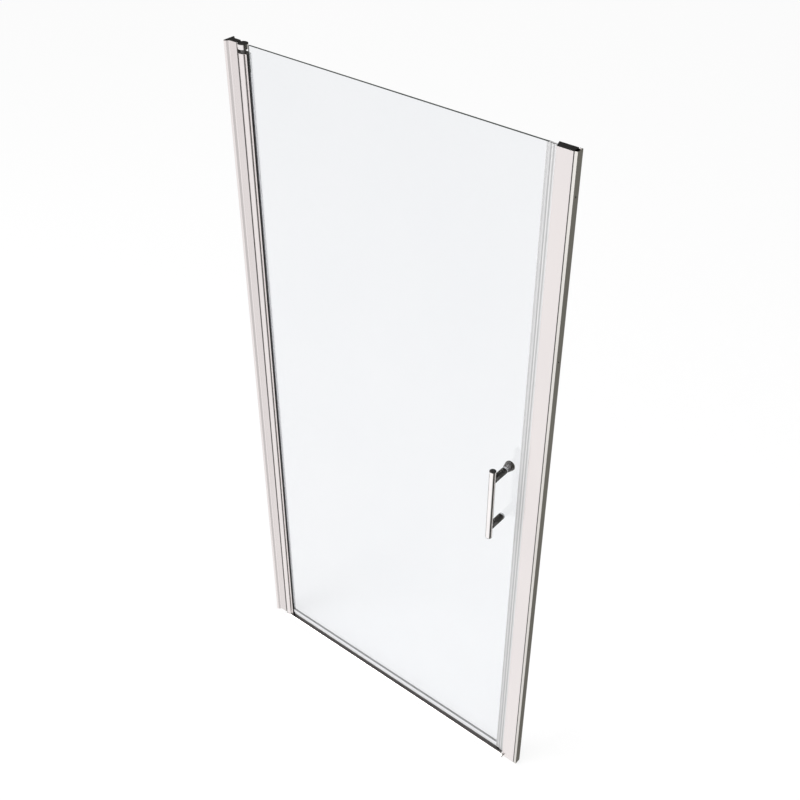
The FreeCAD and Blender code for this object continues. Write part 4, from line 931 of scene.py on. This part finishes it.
# Painted highlight: the tube gets a brighter copy of the chrome than the heads, for a whiter
# highlight.
seat(bar, chrome("handle_chrome_painted_highlight", 0.97), "door", "chrome", "handle_bar")

plug_low, plug_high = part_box("handle_end_caps")
PLUG_PLAY = 0.1 * MM
PLUG = BAR - BAR_WALL - PLUG_PLAY
PLUG_BRIM = 1.2 * MM
PLUG_DEPTH = 6.2 * MM
CAP_EASE = 0.5 * MM
plugs = bmesh.new()
for outside, way in ((plug_low.z, 1), (plug_high.z, -1)):
    rings = [(BAR - CAP_EASE, outside), (BAR, outside + way * CAP_EASE),
             (BAR, outside + way * PLUG_BRIM), (PLUG, outside + way * PLUG_BRIM),
             (PLUG, outside + way * PLUG_DEPTH)]
    one = turned_mesh(rings, (HANDLE_X, BAR_Y, 0))
    part = bpy.data.meshes.new("plug")
    one.to_mesh(part)
    one.free()
    plugs.from_mesh(part)
    bpy.data.meshes.remove(part)
seat(finished("handle_plugs", plugs, THIN_EDGE), black, "door", "black_plastic",
     "handle_end_caps")

# Painted shade: the posts, chrome like the tube, get a dark copy of the chrome that stands in for
# their shade.
posts_painted_shade = finish("chrome_painted_shade", (0.14, 0.137, 0.133), 0.14, 1.0,
               ((0.12, 0.117, 0.114), (0.16, 0.156, 0.152)), (0.09, 0.16), (40, 400))
POST = 9 * MM
SADDLE = 5.5 * MM
SADDLE_GAP = 0.05 * MM
SADDLE_RINGS = 5
POST_EASE = 0.4 * MM
post_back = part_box("upper_handle_post")[1].y
for name, height in zip(("lower_handle_post", "upper_handle_post"), post_heights):
    mesh = bmesh.new()
    rows = []
    rings = [(number / SADDLE_RINGS, None) for number in range(1, SADDLE_RINGS + 1)]
    rings += [(1, post_back - POST_EASE), (1 - POST_EASE / POST, post_back)]
    for radius, back in rings:
        row = []
        for step in range(TURN_STEPS):
            turn = 2 * math.pi * step / TURN_STEPS
            x = POST * radius * math.cos(turn)
            saddle = max(SADDLE, math.sqrt(max(BAR ** 2 - x ** 2, 0))) + SADDLE_GAP
            y = BAR_Y + saddle if back is None else back
            row.append(mesh.verts.new((HANDLE_X + x, y, height + POST * radius * math.sin(turn))))
        rows.append(row)
    mesh.faces.new(rows[0])
    mesh.faces.new(rows[-1])
    for low, high in zip(rows, rows[1:]):
        band(mesh, low, high)
    seat(finished(name + "_piece", mesh, FINE_EDGE), posts_painted_shade, "door", "chrome", name)

knob_low, knob_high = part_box("inner_knob")
KNOB_BASE = 9 * MM
KNOB_END = (knob_high.x - knob_low.x) / 2
KNOB_RIM = 4 * MM
KNOB_EASE = 0.8 * MM
KNOB_EASE_SHARE = 0.3
KNOB_LIP = 0.15 * MM
KNOB_LIP_RISE = 0.3 * MM
KNOB_DISH = 0.6 * MM
KNOB_DISH_SHARE = 0.6
knob_rings = [(KNOB_BASE - KNOB_EASE / 2, knob_low.y), (KNOB_BASE, knob_low.y + KNOB_EASE / 2),
              (KNOB_END - KNOB_LIP, knob_high.y - KNOB_RIM - KNOB_LIP_RISE),
              (KNOB_END, knob_high.y - KNOB_RIM), (KNOB_END, knob_high.y - KNOB_EASE),
              (KNOB_END - KNOB_EASE * KNOB_EASE_SHARE, knob_high.y - KNOB_EASE * KNOB_EASE_SHARE),
              (KNOB_END - KNOB_EASE, knob_high.y),
              (KNOB_END * KNOB_DISH_SHARE, knob_high.y - KNOB_DISH)]
knob = finished("knob", turned_mesh(knob_rings, (HANDLE_X, 0, post_heights[1]), "Y"), FINE_EDGE)
# Painted shade: the knob gets a darker copy of the chrome than the heads.
seat(knob, chrome("knob_chrome_painted_shade", 0.5), "door", "chrome", "inner_knob")

fix_low, fix_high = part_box("lower_fixing_screw")
FIX_HEAD = (fix_high.x - fix_low.x) / 2
FIX_SHANK = 3 * MM
FIX_THICK = 1.5 * MM
FIX_EASE_DEEP = 0.5 * MM
FIX_EASE_WIDE = 0.6 * MM
FIX_SOCKET = 2 * MM
FIX_SOCKET_DEPTH = 1.1 * MM
fix_rings = [(FIX_SHANK, fix_low.y), (FIX_SHANK, fix_high.y - FIX_THICK),
             (FIX_HEAD, fix_high.y - FIX_THICK), (FIX_HEAD, fix_high.y - FIX_EASE_DEEP),
             (FIX_HEAD - FIX_EASE_WIDE, fix_high.y), (FIX_SOCKET, fix_high.y, "hex"),
             (FIX_SOCKET, fix_high.y - FIX_SOCKET_DEPTH, "hex")]
fixing = finished("lower_fixing", turned_mesh(fix_rings, (HANDLE_X, 0, post_heights[0]), "Y"),
                  FINE_EDGE)
seat(fixing, steel, "door", "steel", "lower_fixing_screw")

seat(dressed("upper_fixing_stud"), steel, "door", "steel", "upper_fixing_stud")
seat(dressed("handle_set_screws", SOFT_EDGE), steel, "door", "steel", "handle_set_screws")
for name in ("handle_washers", "glass_sleeves"):
    seat(dressed(name, THIN_EDGE), soft, "door", "clear_seal", name)
